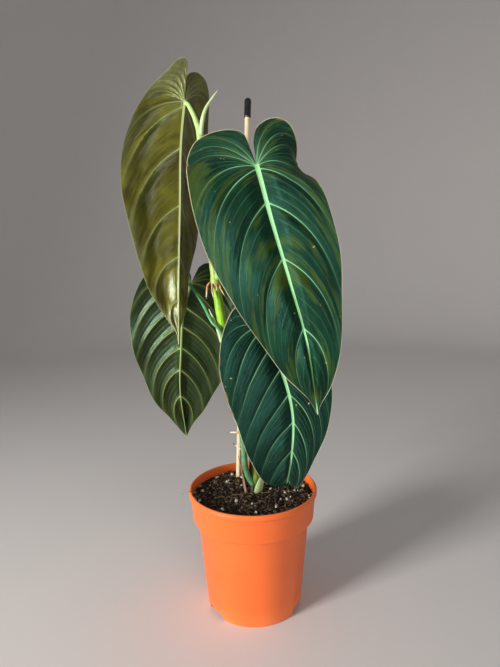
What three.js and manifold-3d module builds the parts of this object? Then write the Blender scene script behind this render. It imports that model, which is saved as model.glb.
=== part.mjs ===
// A potted black gold philodendron: an orange nursery pot full of potting mix, one climbing stem
// beside a bamboo stake, and four long heart-shaped leaves that hang from their stalks.
// Millimetres, +Z up, the origin at the centre of the pot's base, the front towards -Y.
import * as THREE from 'three';
import { mergeVertices } from 'three/addons/utils/BufferGeometryUtils.js';
import Module from 'manifold-3d';

const wasm = await Module();
wasm.setup();

const point = (x, y, z) => new THREE.Vector3(x, y, z);
const flat = (along, across) => new THREE.Vector2(along, across);
const degrees = THREE.MathUtils.degToRad;

// Pieces that touch keep this much air between them.
const SEAT_GAP = 0.3;

// The pot: a 12 cm nursery pot of thin plastic.
const POT_HEIGHT = 113;
const POT_FOOT_RADIUS = 44.5;
const POT_BODY_TOP_RADIUS = 52.2;
const POT_COLLAR_BOTTOM = 85.5;
const POT_COLLAR_LOW_RADIUS = 56.8;
const POT_COLLAR_HIGH_RADIUS = 58.3;
const POT_RIM_RADIUS = 60;
const POT_RIM_DEPTH = 4.5;
const POT_WALL = 1.4;
const POT_SIDES = 48;
const DRAIN_NOTCH_TURNS = [96, 216, 336];
const DRAIN_NOTCH_WIDTH = 24.5;
const DRAIN_NOTCH_TOP_WIDTH = 19.5;
const DRAIN_NOTCH_HEIGHT = 5;
const DRAIN_NOTCH_INNER_RADIUS = 35;
const DRAIN_HOLE_RADIUS = 2.5;
const DRAIN_HOLE_FROM_AXIS = 39.3;

// The potting mix.
const MIX_LEVEL = 106.5;
const MIX_RIM_DROP = 2;
const MIX_CRUMB = 1.3;
const MIX_CRUMB_AT_RIM = 0.5;
const MIX_EDGE_FROM_WALL = 0.9;
const MIX_SIDES = 36;
const MIX_TOP_RINGS = 9;
const MIX_SEED = 11;

// The bamboo stake and its cap.
const STAKE_AT_MIX = point(-14.5, 36, 107);
const STAKE_LEAN_PER_MM = 0.0442;
const STAKE_RADIUS = 2.5;
const STAKE_END_RADIUS = 2.3;
const STAKE_BURIED = 82;
const STAKE_ABOVE_MIX = 362;
const CAP_RADIUS = 3.2;
const CAP_LENGTH = 17.5;
const CAP_TOP_ABOVE_MIX = 365.5;

// The stem, from its buried foot to the end that the top leaf's stalk clasps.
const STEM_COURSE = [
  point(1.5, 6, 82), point(1.5, 5, 106), point(1.5, 5, 132), point(-3, 5, 165), point(-12, 4, 210),
  point(-23.7, 1, 259), point(-30, 0, 304), point(-35, -1.5, 350),
];
const STEM_RADIUS = 4.1;
const STEM_FOOT_RADIUS = 4.7;
const STEM_END_RADIUS = 3.1;
const NODE_SHARES = [0.14, 0.37, 0.63, 0.83];
const NODE_SWELLING = 1.1;
const NODE_LENGTH_SHARE = 0.018;

// Aerial roots that hang from the upper node and reach back from the foot: course and thickness.
const ROOTS = [
  { course: [point(-32, -1, 306), point(-37, -3.4, 302), point(-38.6, -4.2, 290)], radius: 1.0 },
  { course: [point(-31, -1, 306), point(-33, -5.6, 301), point(-31.8, -7, 290)], radius: 0.9 },
  { course: [point(-29, 0, 306), point(-29, -5.2, 302), point(-29.4, -6.4, 296)], radius: 0.8 },
  { course: [point(-28, -1, 306), point(-25.8, -4.6, 300), point(-21.8, -5.2, 292.5)], radius: 0.9 },
  { course: [point(-30, 1, 306), point(-30.5, 5.6, 301), point(-31.5, 7.4, 291)], radius: 0.9 },
  { course: [point(-2, 5, 160), point(-11, 17, 159), point(-24, 28, 156)], radius: 1.3 },
  { course: [point(0, 6, 146), point(-9, 19, 141), point(-19, 29, 144)], radius: 1.1 },
];
const ROOT_TIP_SHARE = 0.35;

// Leaf stalks: course from the stem to the blade, with the radius at each end.
const STALKS = {
  front: {
    course: [point(-30, 0, 306), point(-22, -13, 324), point(-9, -34, 360), point(3, -54, 386)],
    radii: [2.8, 2, 1.8, 1.7],
  },
  lower_right: {
    course: [point(-6, 4, 182), point(-3, -6, 206), point(2, -19, 240), point(8, -30, 264)],
    radii: [2.5, 2, 1.7, 1.6],
  },
  upper_left: {
    course: [
      point(-34.5, -1.4, 345), point(-37, -2.5, 380), point(-39.5, -4, 427), point(-43.5, 1.5, 443),
      point(-50, 12, 458),
    ],
    radii: [4.6, 4.2, 3.9, 3.5, 2.1, 1.7],
  },
  lower_left: {
    course: [
      point(1, 3, 111), point(-6, -1.5, 128), point(-8.7, -2.5, 158), point(-15.5, -4, 205),
      point(-24.8, -5.8, 256), point(-34.5, -3, 270), point(-43.5, 9, 285.5),
    ],
    radii: [2.9, 2.7, 2.3, 1.8, 1.5],
  },
};
// The geniculum: each stalk ends this far along the midrib, sunk this deep and then cut to its seat.
const STALK_END_ALONG = 2.5;
const STALK_END_BEHIND = 4;

// Blades. `course` runs through the crown above the stalk, the joint with the stalk and the tip.
// `face` turns the upper side, at the joint and at the tip. Each half has its outline from the end
// of the lobe to the tip, as millimetres along the midrib and away from it, its fold up from the
// midrib in degrees, and its curl per millimetre. `roll` curls one stretch of a margin further.
const BLADE_THICKNESS = 0.8;
const BLADES = {
  front: {
    course: [
      point(-4, -46, 431), point(7, -66, 392), point(17, -75.5, 352), point(30, -80.5, 306),
      point(43, -80.5, 258), point(51, -76, 204),
    ],
    face: [point(-0.12, -1, 0.28), point(-0.12, -1, 0.1)],
    halves: {
      left: {
        outline: [
          flat(-28, 1.5), flat(-33, 6), flat(-36, 16), flat(-36, 29), flat(-32, 41), flat(-18, 50),
          flat(2, 53), flat(30, 54), flat(58, 52.5), flat(91, 45), flat(137, 31), flat(158, 22),
          flat(172, 12), flat(182, 5), flat(195, 0),
        ],
        fold: [15, 10],
        curl: 0.005,
      },
      right: {
        outline: [
          flat(-20, 3), flat(-31, 8), flat(-35, 16), flat(-34, 25), flat(-28, 33), flat(-16, 39),
          flat(0, 42), flat(20, 41), flat(45, 42.5), flat(82, 40.5), flat(123, 30), flat(150, 22),
          flat(170, 14), flat(179, 9), flat(187, 3.5), flat(195, 0),
        ],
        fold: [15, 10],
        curl: 0.005,
        roll: { at: -2, reach: 22, curl: 0.04 },
      },
    },
    veinStarts: [0, 0, 0, 3, 36, 82, 134, 195],
    veinEnds: [0, 0.17, 0.3, 0.44, 0.6, 0.74, 0.88, 1],
    wave: { height: 1.6, count: 3.5, start: 0.1 },
  },
  lower_right: {
    course: [
      point(0, -25, 302), point(10, -36, 270), point(26, -46, 231), point(34, -48.5, 195),
      point(33, -44.5, 158), point(30, -36, 133), point(28, -22, 125), point(27, -9, 128),
    ],
    face: [point(-0.12, -1, 0.3), point(0, -1, -0.5)],
    halves: {
      left: {
        outline: [
          flat(-16, 1.5), flat(-21, 6), flat(-21, 17), flat(-10, 29), flat(7, 41), flat(22, 48),
          flat(42, 50.5), flat(70, 50), flat(93, 46), flat(116, 37.5), flat(138, 27), flat(156, 15),
          flat(174, 0),
        ],
        fold: [11, 8],
        curl: 0.006,
      },
      right: {
        outline: [
          flat(-16, 1.5), flat(-21, 6), flat(-21, 16), flat(-10, 27), flat(7, 36), flat(25, 40),
          flat(45, 39), flat(67, 35), flat(84, 30), flat(101, 25), flat(120, 19), flat(136, 14),
          flat(152, 9), flat(174, 0),
        ],
        fold: [11, 8],
        curl: 0.006,
      },
    },
    veinStarts: [0, 0, 0, 3, 30, 66, 106, 174],
    veinEnds: [0, 0.15, 0.29, 0.44, 0.6, 0.74, 0.87, 1],
    wave: { height: 1.4, count: 3, start: 0.55 },
  },
  upper_left: {
    course: [
      point(-49, 16, 505), point(-55, 20, 465), point(-59.5, 17, 425), point(-61.5, 12, 372),
      point(-63.5, 3, 310), point(-64.5, -6, 250),
    ],
    face: [point(-0.6, 0.8, 0.2), point(-0.55, 0.8, 0)],
    halves: {
      left: {
        outline: [
          flat(-21, 1), flat(-26, 8), flat(-28, 18), flat(-24, 30), flat(-14, 38), flat(-2, 43),
          flat(14, 46), flat(42, 46), flat(76, 41), flat(105, 32), flat(126, 26), flat(158, 18.5),
          flat(180, 12), flat(200, 4.5), flat(217, 0),
        ],
        fold: [31, 31],
        curl: 0.004,
      },
      right: {
        outline: [
          flat(-32, 0.6), flat(-35, 4), flat(-32, 10), flat(-22, 18), flat(-5, 32), flat(23, 44),
          flat(52, 51), flat(82, 51), flat(118, 42.5), flat(150, 33), flat(171, 25), flat(195, 10),
          flat(205, 2.5), flat(217, 0),
        ],
        fold: [31, 31],
        curl: 0.004,
      },
    },
    veinStarts: [0, 0, 0, 4, 41, 92, 138, 177, 217],
    veinEnds: [0, 0.13, 0.25, 0.38, 0.52, 0.66, 0.78, 0.89, 1],
    wave: { height: 1.5, count: 4, start: 0.3 },
  },
  lower_left: {
    course: [
      point(-44.5, 29, 330), point(-54.5, 24, 304), point(-63.5, 27, 276), point(-68, 35, 238),
      point(-72, 47, 193), point(-69.5, 63, 141),
    ],
    face: [point(0, 1, 0.3), point(0, 1, 0.3)],
    halves: {
      left: {
        outline: [
          flat(-16, 1.5), flat(-22, 6), flat(-25, 15), flat(-22, 27), flat(-11, 38), flat(5, 46),
          flat(22, 51), flat(42, 52.5), flat(75, 50), flat(108, 39), flat(137, 24), flat(156, 9),
          flat(171, 0),
        ],
        fold: [9, 9],
        curl: 0.008,
      },
      right: {
        outline: [
          flat(-6, 2.5), flat(-12, 9), flat(-15, 20), flat(-8, 35), flat(9, 44), flat(30, 49.5),
          flat(46, 51), flat(74, 47.5), flat(100, 39), flat(130, 26.5), flat(153, 13),
          flat(163, 6), flat(171, 0),
        ],
        fold: [12, 12],
        curl: 0.006,
      },
    },
    veinStarts: [0, 0, 0, 4, 36, 68, 110, 171],
    veinEnds: [0, 0.14, 0.28, 0.43, 0.58, 0.72, 0.86, 1],
    wave: { height: 1.5, count: 3.5, start: 0.8 },
  },
};
// Relief of a blade: it swells towards the upper side between the veins, and the midrib and the
// veins stand out below.
const PILLOW_HEIGHT = 1.3;
const VEIN_BEND = 22;
const FULL_BEND_VEIN = 2;
const VEIN_RIDGE = 0.4;
const MIDRIB_RIDGE = 1.7;
const MIDRIB_RIDGE_AT_TIP = 0.3;
// Within this distance of the midrib the thickness turns towards the midrib's own upper side.
const MIDRIB_TURN_REACH = 7;
const VEIN_ROWS = [0, 0.045, 0.2, 0.4, 0.6, 0.8, 1];
const STEPS_BETWEEN_VEINS = 3;

// Shoots and sheaths.
const NEW_SHEATH_COURSE = [
  point(-39.5, -4.5, 427), point(-37.6, -6.5, 440), point(-34.6, -6, 450), point(-29.6, -5.5, 458),
  point(-23.8, -5, 465.5),
];
const NEW_SHEATH_RADII = [2, 1.9, 1.6, 1.1, 0.4];
const MIDDLE_CATAPHYLL_COURSE = [
  point(-26, 0.5, 250), point(-30.6, 0.6, 266), point(-36.8, -0.5, 281),
];
const MIDDLE_CATAPHYLL_RADII = [1.7, 0.4];
const SHEATHS = {
  basal_cataphyll: {
    centre: point(2, 4.2, 104), lean: point(0.12, -0.06, 1), radii: [5.9, 7.4],
    from: -100, to: 20, height: 22, thickness: 1.2,
  },
  dry_sheath_right: {
    centre: point(1.5, 5, 104), lean: point(0, 0, 1), radii: [5.6, 5.6],
    from: -150, to: -103, height: 37, thickness: 0.8,
  },
  dry_sheath_left: {
    centre: point(-2.6, 1.1, 104), lean: point(-0.16, -0.06, 1), radii: [4.4, 3.9],
    from: 150, to: 235, height: 39, thickness: 0.8,
  },
};

// A repeatable random draw between 0 and 1.
function seededDraw(seed) {
  let state = seed;
  return () => {
    state = (state * 48271) % 2147483647;
    return state / 2147483647;
  };
}

// Collects shared corners and triangles, and leaves out triangles that collapse to a line.
class Shell {
  constructor() {
    this.positions = [];
    this.triangles = [];
  }

  add(corner) {
    this.positions.push(corner.x, corner.y, corner.z);
    return this.positions.length / 3 - 1;
  }

  triangle(a, b, c) {
    if (a !== b && b !== c && c !== a) this.triangles.push(a, b, c);
  }

  quad(a, b, c, d) {
    this.triangle(a, b, c);
    this.triangle(a, c, d);
  }

  geometry() {
    const geometry = new THREE.BufferGeometry();
    geometry.setAttribute('position', new THREE.Float32BufferAttribute(this.positions, 3));
    geometry.setIndex(this.triangles);
    return geometry;
  }
}

// Closed bodies for joining and cutting, and back to plain geometry.
function toSolid(geometry) {
  const bare = geometry.clone();
  bare.deleteAttribute('normal');
  bare.deleteAttribute('uv');
  const merged = mergeVertices(bare, 1e-4);
  const corners = merged.getIndex().array;
  const triangles = [];
  for (let i = 0; i < corners.length; i += 3) {
    const [a, b, c] = [corners[i], corners[i + 1], corners[i + 2]];
    if (a !== b && b !== c && c !== a) triangles.push(a, b, c);
  }
  return new wasm.Manifold(new wasm.Mesh({
    numProp: 3,
    vertProperties: new Float32Array(merged.getAttribute('position').array),
    triVerts: new Uint32Array(triangles),
  }));
}

function toGeometry(solid) {
  const mesh = solid.getMesh();
  const positions = [];
  for (let i = 0; i < mesh.vertProperties.length; i += mesh.numProp) {
    positions.push(...mesh.vertProperties.slice(i, i + 3));
  }
  const geometry = new THREE.BufferGeometry();
  geometry.setAttribute('position', new THREE.Float32BufferAttribute(positions, 3));
  geometry.setIndex(Array.from(mesh.triVerts));
  return geometry;
}

// What is left of a piece after cuts, without the scraps.
function largestBody(solid) {
  const bodies = solid.decompose();
  return bodies.reduce((best, body) => (body.volume() > best.volume() ? body : best));
}

// A solid of revolution about +Z from an outline of [radius, height] that starts and ends on the axis.
function turned(outline, sides) {
  const profile = outline.map(([radius, height]) => flat(radius, height));
  const geometry = new THREE.LatheGeometry(profile, sides);
  return geometry.rotateX(Math.PI / 2);
}

// A round rod of changing thickness along a smooth course, closed at both ends.
// The frame is carried along the course, so that it doesn't twist.
function rod(points, radiusAt, { sides = 8, steps = 16, squash = 1 } = {}) {
  const course = new THREE.CatmullRomCurve3(points, false, 'catmullrom', 0.5);
  const frames = course.computeFrenetFrames(steps, false);
  const shell = new Shell();
  const rings = [];
  for (let step = 0; step <= steps; step += 1) {
    const share = step / steps;
    const middle = course.getPointAt(share);
    const ring = [];
    for (let side = 0; side < sides; side += 1) {
      const turn = (2 * Math.PI * side) / sides;
      const radius = radiusAt(share);
      const corner = middle.clone()
        .addScaledVector(frames.normals[step], radius * Math.cos(turn))
        .addScaledVector(frames.binormals[step], radius * squash * Math.sin(turn));
      ring.push(shell.add(corner));
    }
    rings.push(ring);
  }
  const start = shell.add(course.getPointAt(0));
  const end = shell.add(course.getPointAt(1));
  for (let side = 0; side < sides; side += 1) {
    const next = (side + 1) % sides;
    shell.triangle(start, rings[0][next], rings[0][side]);
    shell.triangle(end, rings[steps][side], rings[steps][next]);
    for (let step = 0; step < steps; step += 1) {
      shell.quad(rings[step][side], rings[step][next], rings[step + 1][next], rings[step + 1][side]);
    }
  }
  return shell.geometry();
}

// A value that runs through a list of values spread evenly from share 0 to share 1.
function along(values) {
  return (share) => {
    const place = THREE.MathUtils.clamp(share, 0, 1) * (values.length - 1);
    const below = Math.min(Math.floor(place), values.length - 2);
    return THREE.MathUtils.lerp(values[below], values[below + 1], place - below);
  };
}

// A closed sheet: a grid of corners on its upper and its lower face, split into triangles alike,
// and a rim between them that follows the boundary of the grid.
function closeSheet(shell, upper, lower) {
  const last = upper.length - 1;
  for (let row = 0; row < last; row += 1) {
    for (let column = 0; column < upper[row].length - 1; column += 1) {
      const [a, b, c, d] = [
        [row, column], [row + 1, column], [row + 1, column + 1], [row, column + 1],
      ];
      const up = [a, b, c, d].map(([r, k]) => upper[r][k]);
      const down = [a, b, c, d].map(([r, k]) => lower[r][k]);
      shell.quad(...up);
      shell.triangle(down[0], down[2], down[1]);
      shell.triangle(down[0], down[3], down[2]);
    }
  }
  const width = upper[0].length - 1;
  const boundary = [
    ...upper[0].map((_, column) => [0, column]),
    ...upper.map((_, row) => [row, width]),
    ...upper[0].map((_, column) => [last, width - column]),
    ...upper.map((_, row) => [last - row, 0]),
  ];
  for (let i = 0; i < boundary.length; i += 1) {
    const [row, column] = boundary[i];
    const [nextRow, nextColumn] = boundary[(i + 1) % boundary.length];
    const [a, b] = [upper[row][column], upper[nextRow][nextColumn]];
    const [c, d] = [lower[nextRow][nextColumn], lower[row][column]];
    shell.quad(a, b, c, d);
  }
}

// A blade between its veins. A place on it is a vein number, which runs on between the veins from
// the sinus to the tip, and a share of the way from the midrib to the margin.
class Blade {
  constructor(shape) {
    this.shape = shape;
    this.course = new THREE.CatmullRomCurve3(shape.course, false, 'catmullrom', 0.5);
    const spans = shape.course.length - 1;
    const lengths = this.course.getLengths(spans * 40);
    this.crown = lengths[40];
    this.total = lengths.at(-1);
    this.length = this.total - this.crown;
    this.veins = shape.veinStarts.length - 1;
    this.margins = {};
    for (const [name, half] of Object.entries(shape.halves)) {
      this.margins[name] = new THREE.SplineCurve(half.outline);
    }
  }

  // The midrib's place, its direction, the upper side and the left side, at a distance from the joint.
  frame(distance) {
    const share = THREE.MathUtils.clamp((distance + this.crown) / this.total, 0, 1);
    const middle = this.course.getPointAt(share);
    const forward = this.course.getTangentAt(share);
    const reach = THREE.MathUtils.clamp(distance / this.length, 0, 1);
    const [faceAtJoint, faceAtTip] = this.shape.face;
    const up = faceAtJoint.clone().normalize().lerp(faceAtTip.clone().normalize(), reach);
    up.addScaledVector(forward, -up.dot(forward)).normalize();
    const left = forward.clone().cross(up);
    return { middle, up, left, reach };
  }

  // Where the vein leaves the midrib.
  start(vein) {
    return along(this.shape.veinStarts)(vein / this.veins);
  }

  // A vein's course on the flat blade, bent towards the tip, but straight at the sinus.
  flatPlace(name, vein, share) {
    const start = flat(this.start(vein), 0);
    const end = this.margins[name].getPointAt(along(this.shape.veinEnds)(vein / this.veins));
    const chord = end.clone().sub(start);
    const bend = degrees(VEIN_BEND * Math.min(1, vein / FULL_BEND_VEIN) ** 2);
    const bent = chord.clone().multiplyScalar(0.5).rotateAround(flat(0, 0), bend);
    return new THREE.QuadraticBezierCurve(start, start.clone().add(bent), end).getPoint(share);
  }

  // A point of the blade's middle surface, bent in space, and the direction of its upper side.
  place(name, vein, share) {
    const half = this.shape.halves[name];
    const sign = name === 'left' ? 1 : -1;
    const spot = this.flatPlace(name, vein, share);
    const { middle, up, left, reach } = this.frame(spot.x);
    const fold = degrees(THREE.MathUtils.lerp(half.fold[0], half.fold[1], reach));
    const { roll } = half;
    const rolled = roll ? roll.curl * Math.exp(-(((spot.x - roll.at) / roll.reach) ** 2)) : 0;
    const curl = half.curl + rolled;
    const angle = fold - curl * spot.y;
    const outwards = (Math.sin(fold) - Math.sin(angle)) / curl;
    const rise = (Math.cos(angle) - Math.cos(fold)) / curl;
    const turned = THREE.MathUtils.clamp(spot.y / MIDRIB_TURN_REACH, 0, 1);
    const normal = up.clone().multiplyScalar(Math.cos(angle))
      .addScaledVector(left, -sign * Math.sin(angle)).lerp(up, 1 - turned).normalize();
    const { wave } = this.shape;
    const turns = wave.count * (vein / this.veins) + wave.start + (sign > 0 ? 0 : 0.35);
    const waving = wave.height * Math.sin(2 * Math.PI * turns) * share * share;
    const between = Math.sin(Math.PI * (vein % 1)) ** 2;
    const pillow = PILLOW_HEIGHT * between * Math.sin(Math.PI * share) ** 0.7;
    const position = middle.clone()
      .addScaledVector(left, sign * outwards)
      .addScaledVector(up, rise);
    if (vein < this.veins) position.addScaledVector(normal, waving + pillow);
    return { position, normal };
  }

  // How far the lower face stands below the middle surface, beyond the plain thickness.
  ridge(vein, share) {
    const reach = vein / this.veins;
    if (share === 0) return THREE.MathUtils.lerp(MIDRIB_RIDGE, MIDRIB_RIDGE_AT_TIP, reach);
    const onVein = Number.isInteger(vein) && vein > 0 && vein < this.veins;
    return onVein ? VEIN_RIDGE * (1 - share) : 0;
  }

  // The closed blade. `swelling` thickens it on both faces, to cut a neighbour with.
  // All veins that leave the joint share its corner, and the last row shrinks to the tip.
  geometry(swelling = 0) {
    const shell = new Shell();
    const steps = this.veins * STEPS_BETWEEN_VEINS;
    const places = [
      ...VEIN_ROWS.slice(1).reverse().map((share) => ['left', share]),
      ...VEIN_ROWS.map((share) => ['right', share]),
    ];
    const half = BLADE_THICKNESS / 2 + swelling;
    const [upper, lower] = [[], []];
    let joint = null;
    for (let step = 0; step <= steps; step += 1) {
      const vein = step / STEPS_BETWEEN_VEINS;
      const row = places.map(([name, share]) => {
        const isJoint = share === 0 && this.start(vein) === 0;
        if (isJoint && joint) return joint;
        const { position, normal } = this.place(name, vein, share);
        const below = half + this.ridge(vein, share);
        const corners = [half, -below].map(
          (height) => shell.add(position.clone().addScaledVector(normal, height)),
        );
        if (isJoint) joint = corners;
        return corners;
      });
      const shared = step === steps ? row.map(() => row[0]) : row;
      upper.push(shared.map(([top]) => top));
      lower.push(shared.map(([, bottom]) => bottom));
    }
    closeSheet(shell, upper, lower);
    return shell.geometry();
  }
}

// A sheath that clasps an axis: a curved sheet, highest in the middle.
function clasp({ centre, lean, radii, from, to, height, thickness }) {
  const shell = new Shell();
  const [inner, outer] = [[], []];
  const [rows, columns] = [5, 8];
  for (let row = 0; row <= rows; row += 1) {
    const [innerRow, outerRow] = [[], []];
    for (let column = 0; column <= columns; column += 1) {
      const turn = degrees(THREE.MathUtils.lerp(from, to, column / columns));
      const top = height * (0.3 + 0.7 * Math.sin((Math.PI * column) / columns) ** 0.8);
      const up = (top * row) / rows;
      const radius = THREE.MathUtils.lerp(radii[0], radii[1], up / height);
      const thin = thickness * (1 - (0.25 * row) / rows);
      for (const [list, distance] of [[innerRow, radius], [outerRow, radius + thin]]) {
        const corner = centre.clone().addScaledVector(lean, up)
          .add(point(distance * Math.cos(turn), distance * Math.sin(turn), 0));
        list.push(shell.add(corner));
      }
    }
    inner.push(innerRow);
    outer.push(outerRow);
  }
  closeSheet(shell, inner, outer);
  return shell.geometry();
}

// The pot: one wall of even thickness, a floor, and three drain pockets under its edge.
const potOutline = [
  [0, 0], [POT_FOOT_RADIUS - 0.8, 0], [POT_FOOT_RADIUS, 0.8],
  [POT_BODY_TOP_RADIUS, POT_COLLAR_BOTTOM], [POT_COLLAR_LOW_RADIUS - 1, POT_COLLAR_BOTTOM],
  [POT_COLLAR_LOW_RADIUS, POT_COLLAR_BOTTOM + 1.2],
  [POT_COLLAR_HIGH_RADIUS, POT_HEIGHT - POT_RIM_DEPTH - 1.5],
  [POT_RIM_RADIUS, POT_HEIGHT - POT_RIM_DEPTH], [POT_RIM_RADIUS, POT_HEIGHT - 0.8],
  [POT_RIM_RADIUS - 0.8, POT_HEIGHT], [0, POT_HEIGHT],
];
const innerWall = [
  [POT_FOOT_RADIUS - POT_WALL, POT_WALL],
  [POT_BODY_TOP_RADIUS - POT_WALL, POT_COLLAR_BOTTOM + POT_WALL],
  [POT_COLLAR_LOW_RADIUS - POT_WALL, POT_COLLAR_BOTTOM + POT_WALL + 0.4],
  [POT_COLLAR_HIGH_RADIUS - POT_WALL, POT_HEIGHT - POT_RIM_DEPTH],
];
const potHollow = [
  [0, POT_WALL], ...innerWall, [POT_RIM_RADIUS - 2, POT_HEIGHT],
  [POT_RIM_RADIUS - 2, POT_HEIGHT + 1], [0, POT_HEIGHT + 1],
];

// A drain notch, a low trapezium cut inwards from the foot, or the same grown on every side.
function drainNotch(turn, grow = 0) {
  const [half, topHalf] = [DRAIN_NOTCH_WIDTH / 2 + grow, DRAIN_NOTCH_TOP_WIDTH / 2 + grow];
  const top = DRAIN_NOTCH_HEIGHT + grow;
  const outline = new THREE.Shape([
    flat(-half, -1), flat(half, -1), flat(topHalf, top), flat(-topHalf, top),
  ]);
  const geometry = new THREE.ExtrudeGeometry(outline, { depth: POT_FOOT_RADIUS, bevelEnabled: false });
  const inner = DRAIN_NOTCH_INNER_RADIUS - grow;
  return geometry.translate(0, 0, inner).rotateX(Math.PI / 2).rotateZ(degrees(turn + 90));
}

function makePot() {
  const outside = toSolid(turned(potOutline, POT_SIDES));
  let hollow = toSolid(turned(potHollow, POT_SIDES));
  for (const turn of DRAIN_NOTCH_TURNS) {
    hollow = hollow.subtract(toSolid(drainNotch(turn, POT_WALL)));
  }
  let pot = outside.subtract(hollow);
  for (const turn of DRAIN_NOTCH_TURNS) {
    const hole = new THREE.CylinderGeometry(DRAIN_HOLE_RADIUS, DRAIN_HOLE_RADIUS, 10, 12);
    hole.rotateX(Math.PI / 2).translate(DRAIN_HOLE_FROM_AXIS, 0, DRAIN_NOTCH_HEIGHT);
    pot = pot.subtract(toSolid(drainNotch(turn))).subtract(toSolid(hole.rotateZ(degrees(turn))));
  }
  return toGeometry(pot);
}

// The stake and its cap stand on one leaning axis.
const stakeDirection = point(STAKE_LEAN_PER_MM, 0, 1).normalize();
const stakeTurn = new THREE.Quaternion().setFromUnitVectors(point(0, 0, 1), stakeDirection);
const stakeFoot = STAKE_AT_MIX.clone().addScaledVector(stakeDirection, -STAKE_BURIED);
const stakeLength = STAKE_BURIED + STAKE_ABOVE_MIX;
const capBottom = STAKE_BURIED + CAP_TOP_ABOVE_MIX - CAP_LENGTH;

function makeStake() {
  const shoulder = capBottom - SEAT_GAP;
  return turned([
    [0, 0], [STAKE_RADIUS - 0.5, 0], [STAKE_RADIUS, 1], [STAKE_RADIUS, shoulder],
    [STAKE_END_RADIUS, shoulder], [STAKE_END_RADIUS, stakeLength], [0, stakeLength],
  ], 16);
}

function makeCap() {
  const boreRadius = STAKE_END_RADIUS + SEAT_GAP;
  const boreTop = STAKE_BURIED + STAKE_ABOVE_MIX + SEAT_GAP - capBottom;
  const shoulder = CAP_LENGTH - CAP_RADIUS;
  const dome = [0, 22.5, 45, 67.5].map((turn) => [
    CAP_RADIUS * Math.cos(degrees(turn)), shoulder + CAP_RADIUS * Math.sin(degrees(turn)),
  ]);
  return turned([
    [0, boreTop], [boreRadius, boreTop], [boreRadius, 0], [CAP_RADIUS, 0], ...dome, [0, CAP_LENGTH],
  ], 20);
}

// The stem, swollen at its nodes, with its aerial roots grown from it.
function stemRadius(share) {
  const plain = [STEM_FOOT_RADIUS, STEM_RADIUS, STEM_RADIUS, STEM_RADIUS, STEM_END_RADIUS];
  const swellings = NODE_SHARES.map((node) => Math.exp(-(((share - node) / NODE_LENGTH_SHARE) ** 2)));
  return along(plain)(share) + NODE_SWELLING * Math.max(...swellings);
}

function stemSolid(swelling = 0) {
  const radiusAt = (share) => stemRadius(share) + swelling;
  return toSolid(rod(STEM_COURSE, radiusAt, { sides: 9, steps: 48 }));
}

function makeStem() {
  let stem = stemSolid();
  for (const { course, radius } of ROOTS) {
    const radiusAt = (share) => radius * Math.min(1, ROOT_TIP_SHARE + (1 - share) * 2);
    stem = stem.add(toSolid(rod(course, radiusAt, { sides: 5, steps: 6 })));
  }
  return toGeometry(stem);
}

const swollenStem = stemSolid(SEAT_GAP);
const swollenStake = new THREE.CylinderGeometry(
  STAKE_RADIUS + SEAT_GAP, STAKE_RADIUS + SEAT_GAP, (STAKE_BURIED + SEAT_GAP) * 2, 16,
).rotateX(Math.PI / 2).applyQuaternion(stakeTurn).translate(...STAKE_AT_MIX);

// The potting mix: it fills the pot's hollow, and its top is crumbly and lower at the rim.
function makeMix() {
  const draw = seededDraw(MIX_SEED);
  const shell = new Shell();
  const sides = MIX_SIDES;
  const wall = innerWall.map(([radius, height]) => [radius - SEAT_GAP, height + SEAT_GAP]);
  const rings = [];
  const ring = (radius, heightAt) => {
    const corners = [];
    for (let side = 0; side < sides; side += 1) {
      const turn = (2 * Math.PI * side) / sides;
      corners.push(shell.add(point(radius * Math.cos(turn), radius * Math.sin(turn), heightAt())));
    }
    rings.push(corners);
  };
  wall.slice(0, 3).forEach(([radius, height]) => ring(radius, () => height));
  const edge = wall[3][0] - MIX_EDGE_FROM_WALL;
  for (let step = 0; step < MIX_TOP_RINGS; step += 1) {
    const radius = edge * (1 - step / MIX_TOP_RINGS);
    const level = MIX_LEVEL - MIX_RIM_DROP * (radius / edge) ** 4;
    const crumb = step === 0 ? MIX_CRUMB_AT_RIM : MIX_CRUMB;
    ring(radius, () => level + crumb * (draw() * 2 - 1));
  }
  const bottom = shell.add(point(0, 0, wall[0][1]));
  const top = shell.add(point(0, 0, MIX_LEVEL));
  for (let side = 0; side < sides; side += 1) {
    const next = (side + 1) % sides;
    shell.triangle(bottom, rings[0][next], rings[0][side]);
    shell.triangle(top, rings.at(-1)[side], rings.at(-1)[next]);
    for (let i = 0; i < rings.length - 1; i += 1) {
      shell.quad(rings[i][side], rings[i][next], rings[i + 1][next], rings[i + 1][side]);
    }
  }
  let mix = toSolid(shell.geometry());
  for (const turn of DRAIN_NOTCH_TURNS) {
    mix = mix.subtract(toSolid(drainNotch(turn, POT_WALL + SEAT_GAP)));
  }
  return mix.subtract(swollenStem).subtract(toSolid(swollenStake));
}

const mixSolid = makeMix();

const blades = Object.fromEntries(
  Object.entries(BLADES).map(([name, shape]) => [name, new Blade(shape)]),
);

// A leaf stalk from its seat on the stem to its seat under the end of the midrib.
function stalkSolid(name, swelling = 0) {
  const { course, radii } = STALKS[name];
  const { middle, up } = blades[name].frame(STALK_END_ALONG);
  const behind = middle.clone().addScaledVector(up, -STALK_END_BEHIND);
  const radiusAt = (share) => along(radii)(share) + swelling;
  return toSolid(rod([...course, behind, middle], radiusAt, { sides: 8, steps: 18 }));
}

function makeStalk(name) {
  const cutter = toSolid(blades[name].geometry(SEAT_GAP));
  return toGeometry(largestBody(stalkSolid(name).subtract(swollenStem).subtract(cutter)));
}

function makeNewSheath() {
  const shoot = toSolid(rod(NEW_SHEATH_COURSE, along(NEW_SHEATH_RADII), { sides: 8, steps: 14 }));
  return toGeometry(largestBody(shoot.subtract(stalkSolid('upper_left', SEAT_GAP))));
}

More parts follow.
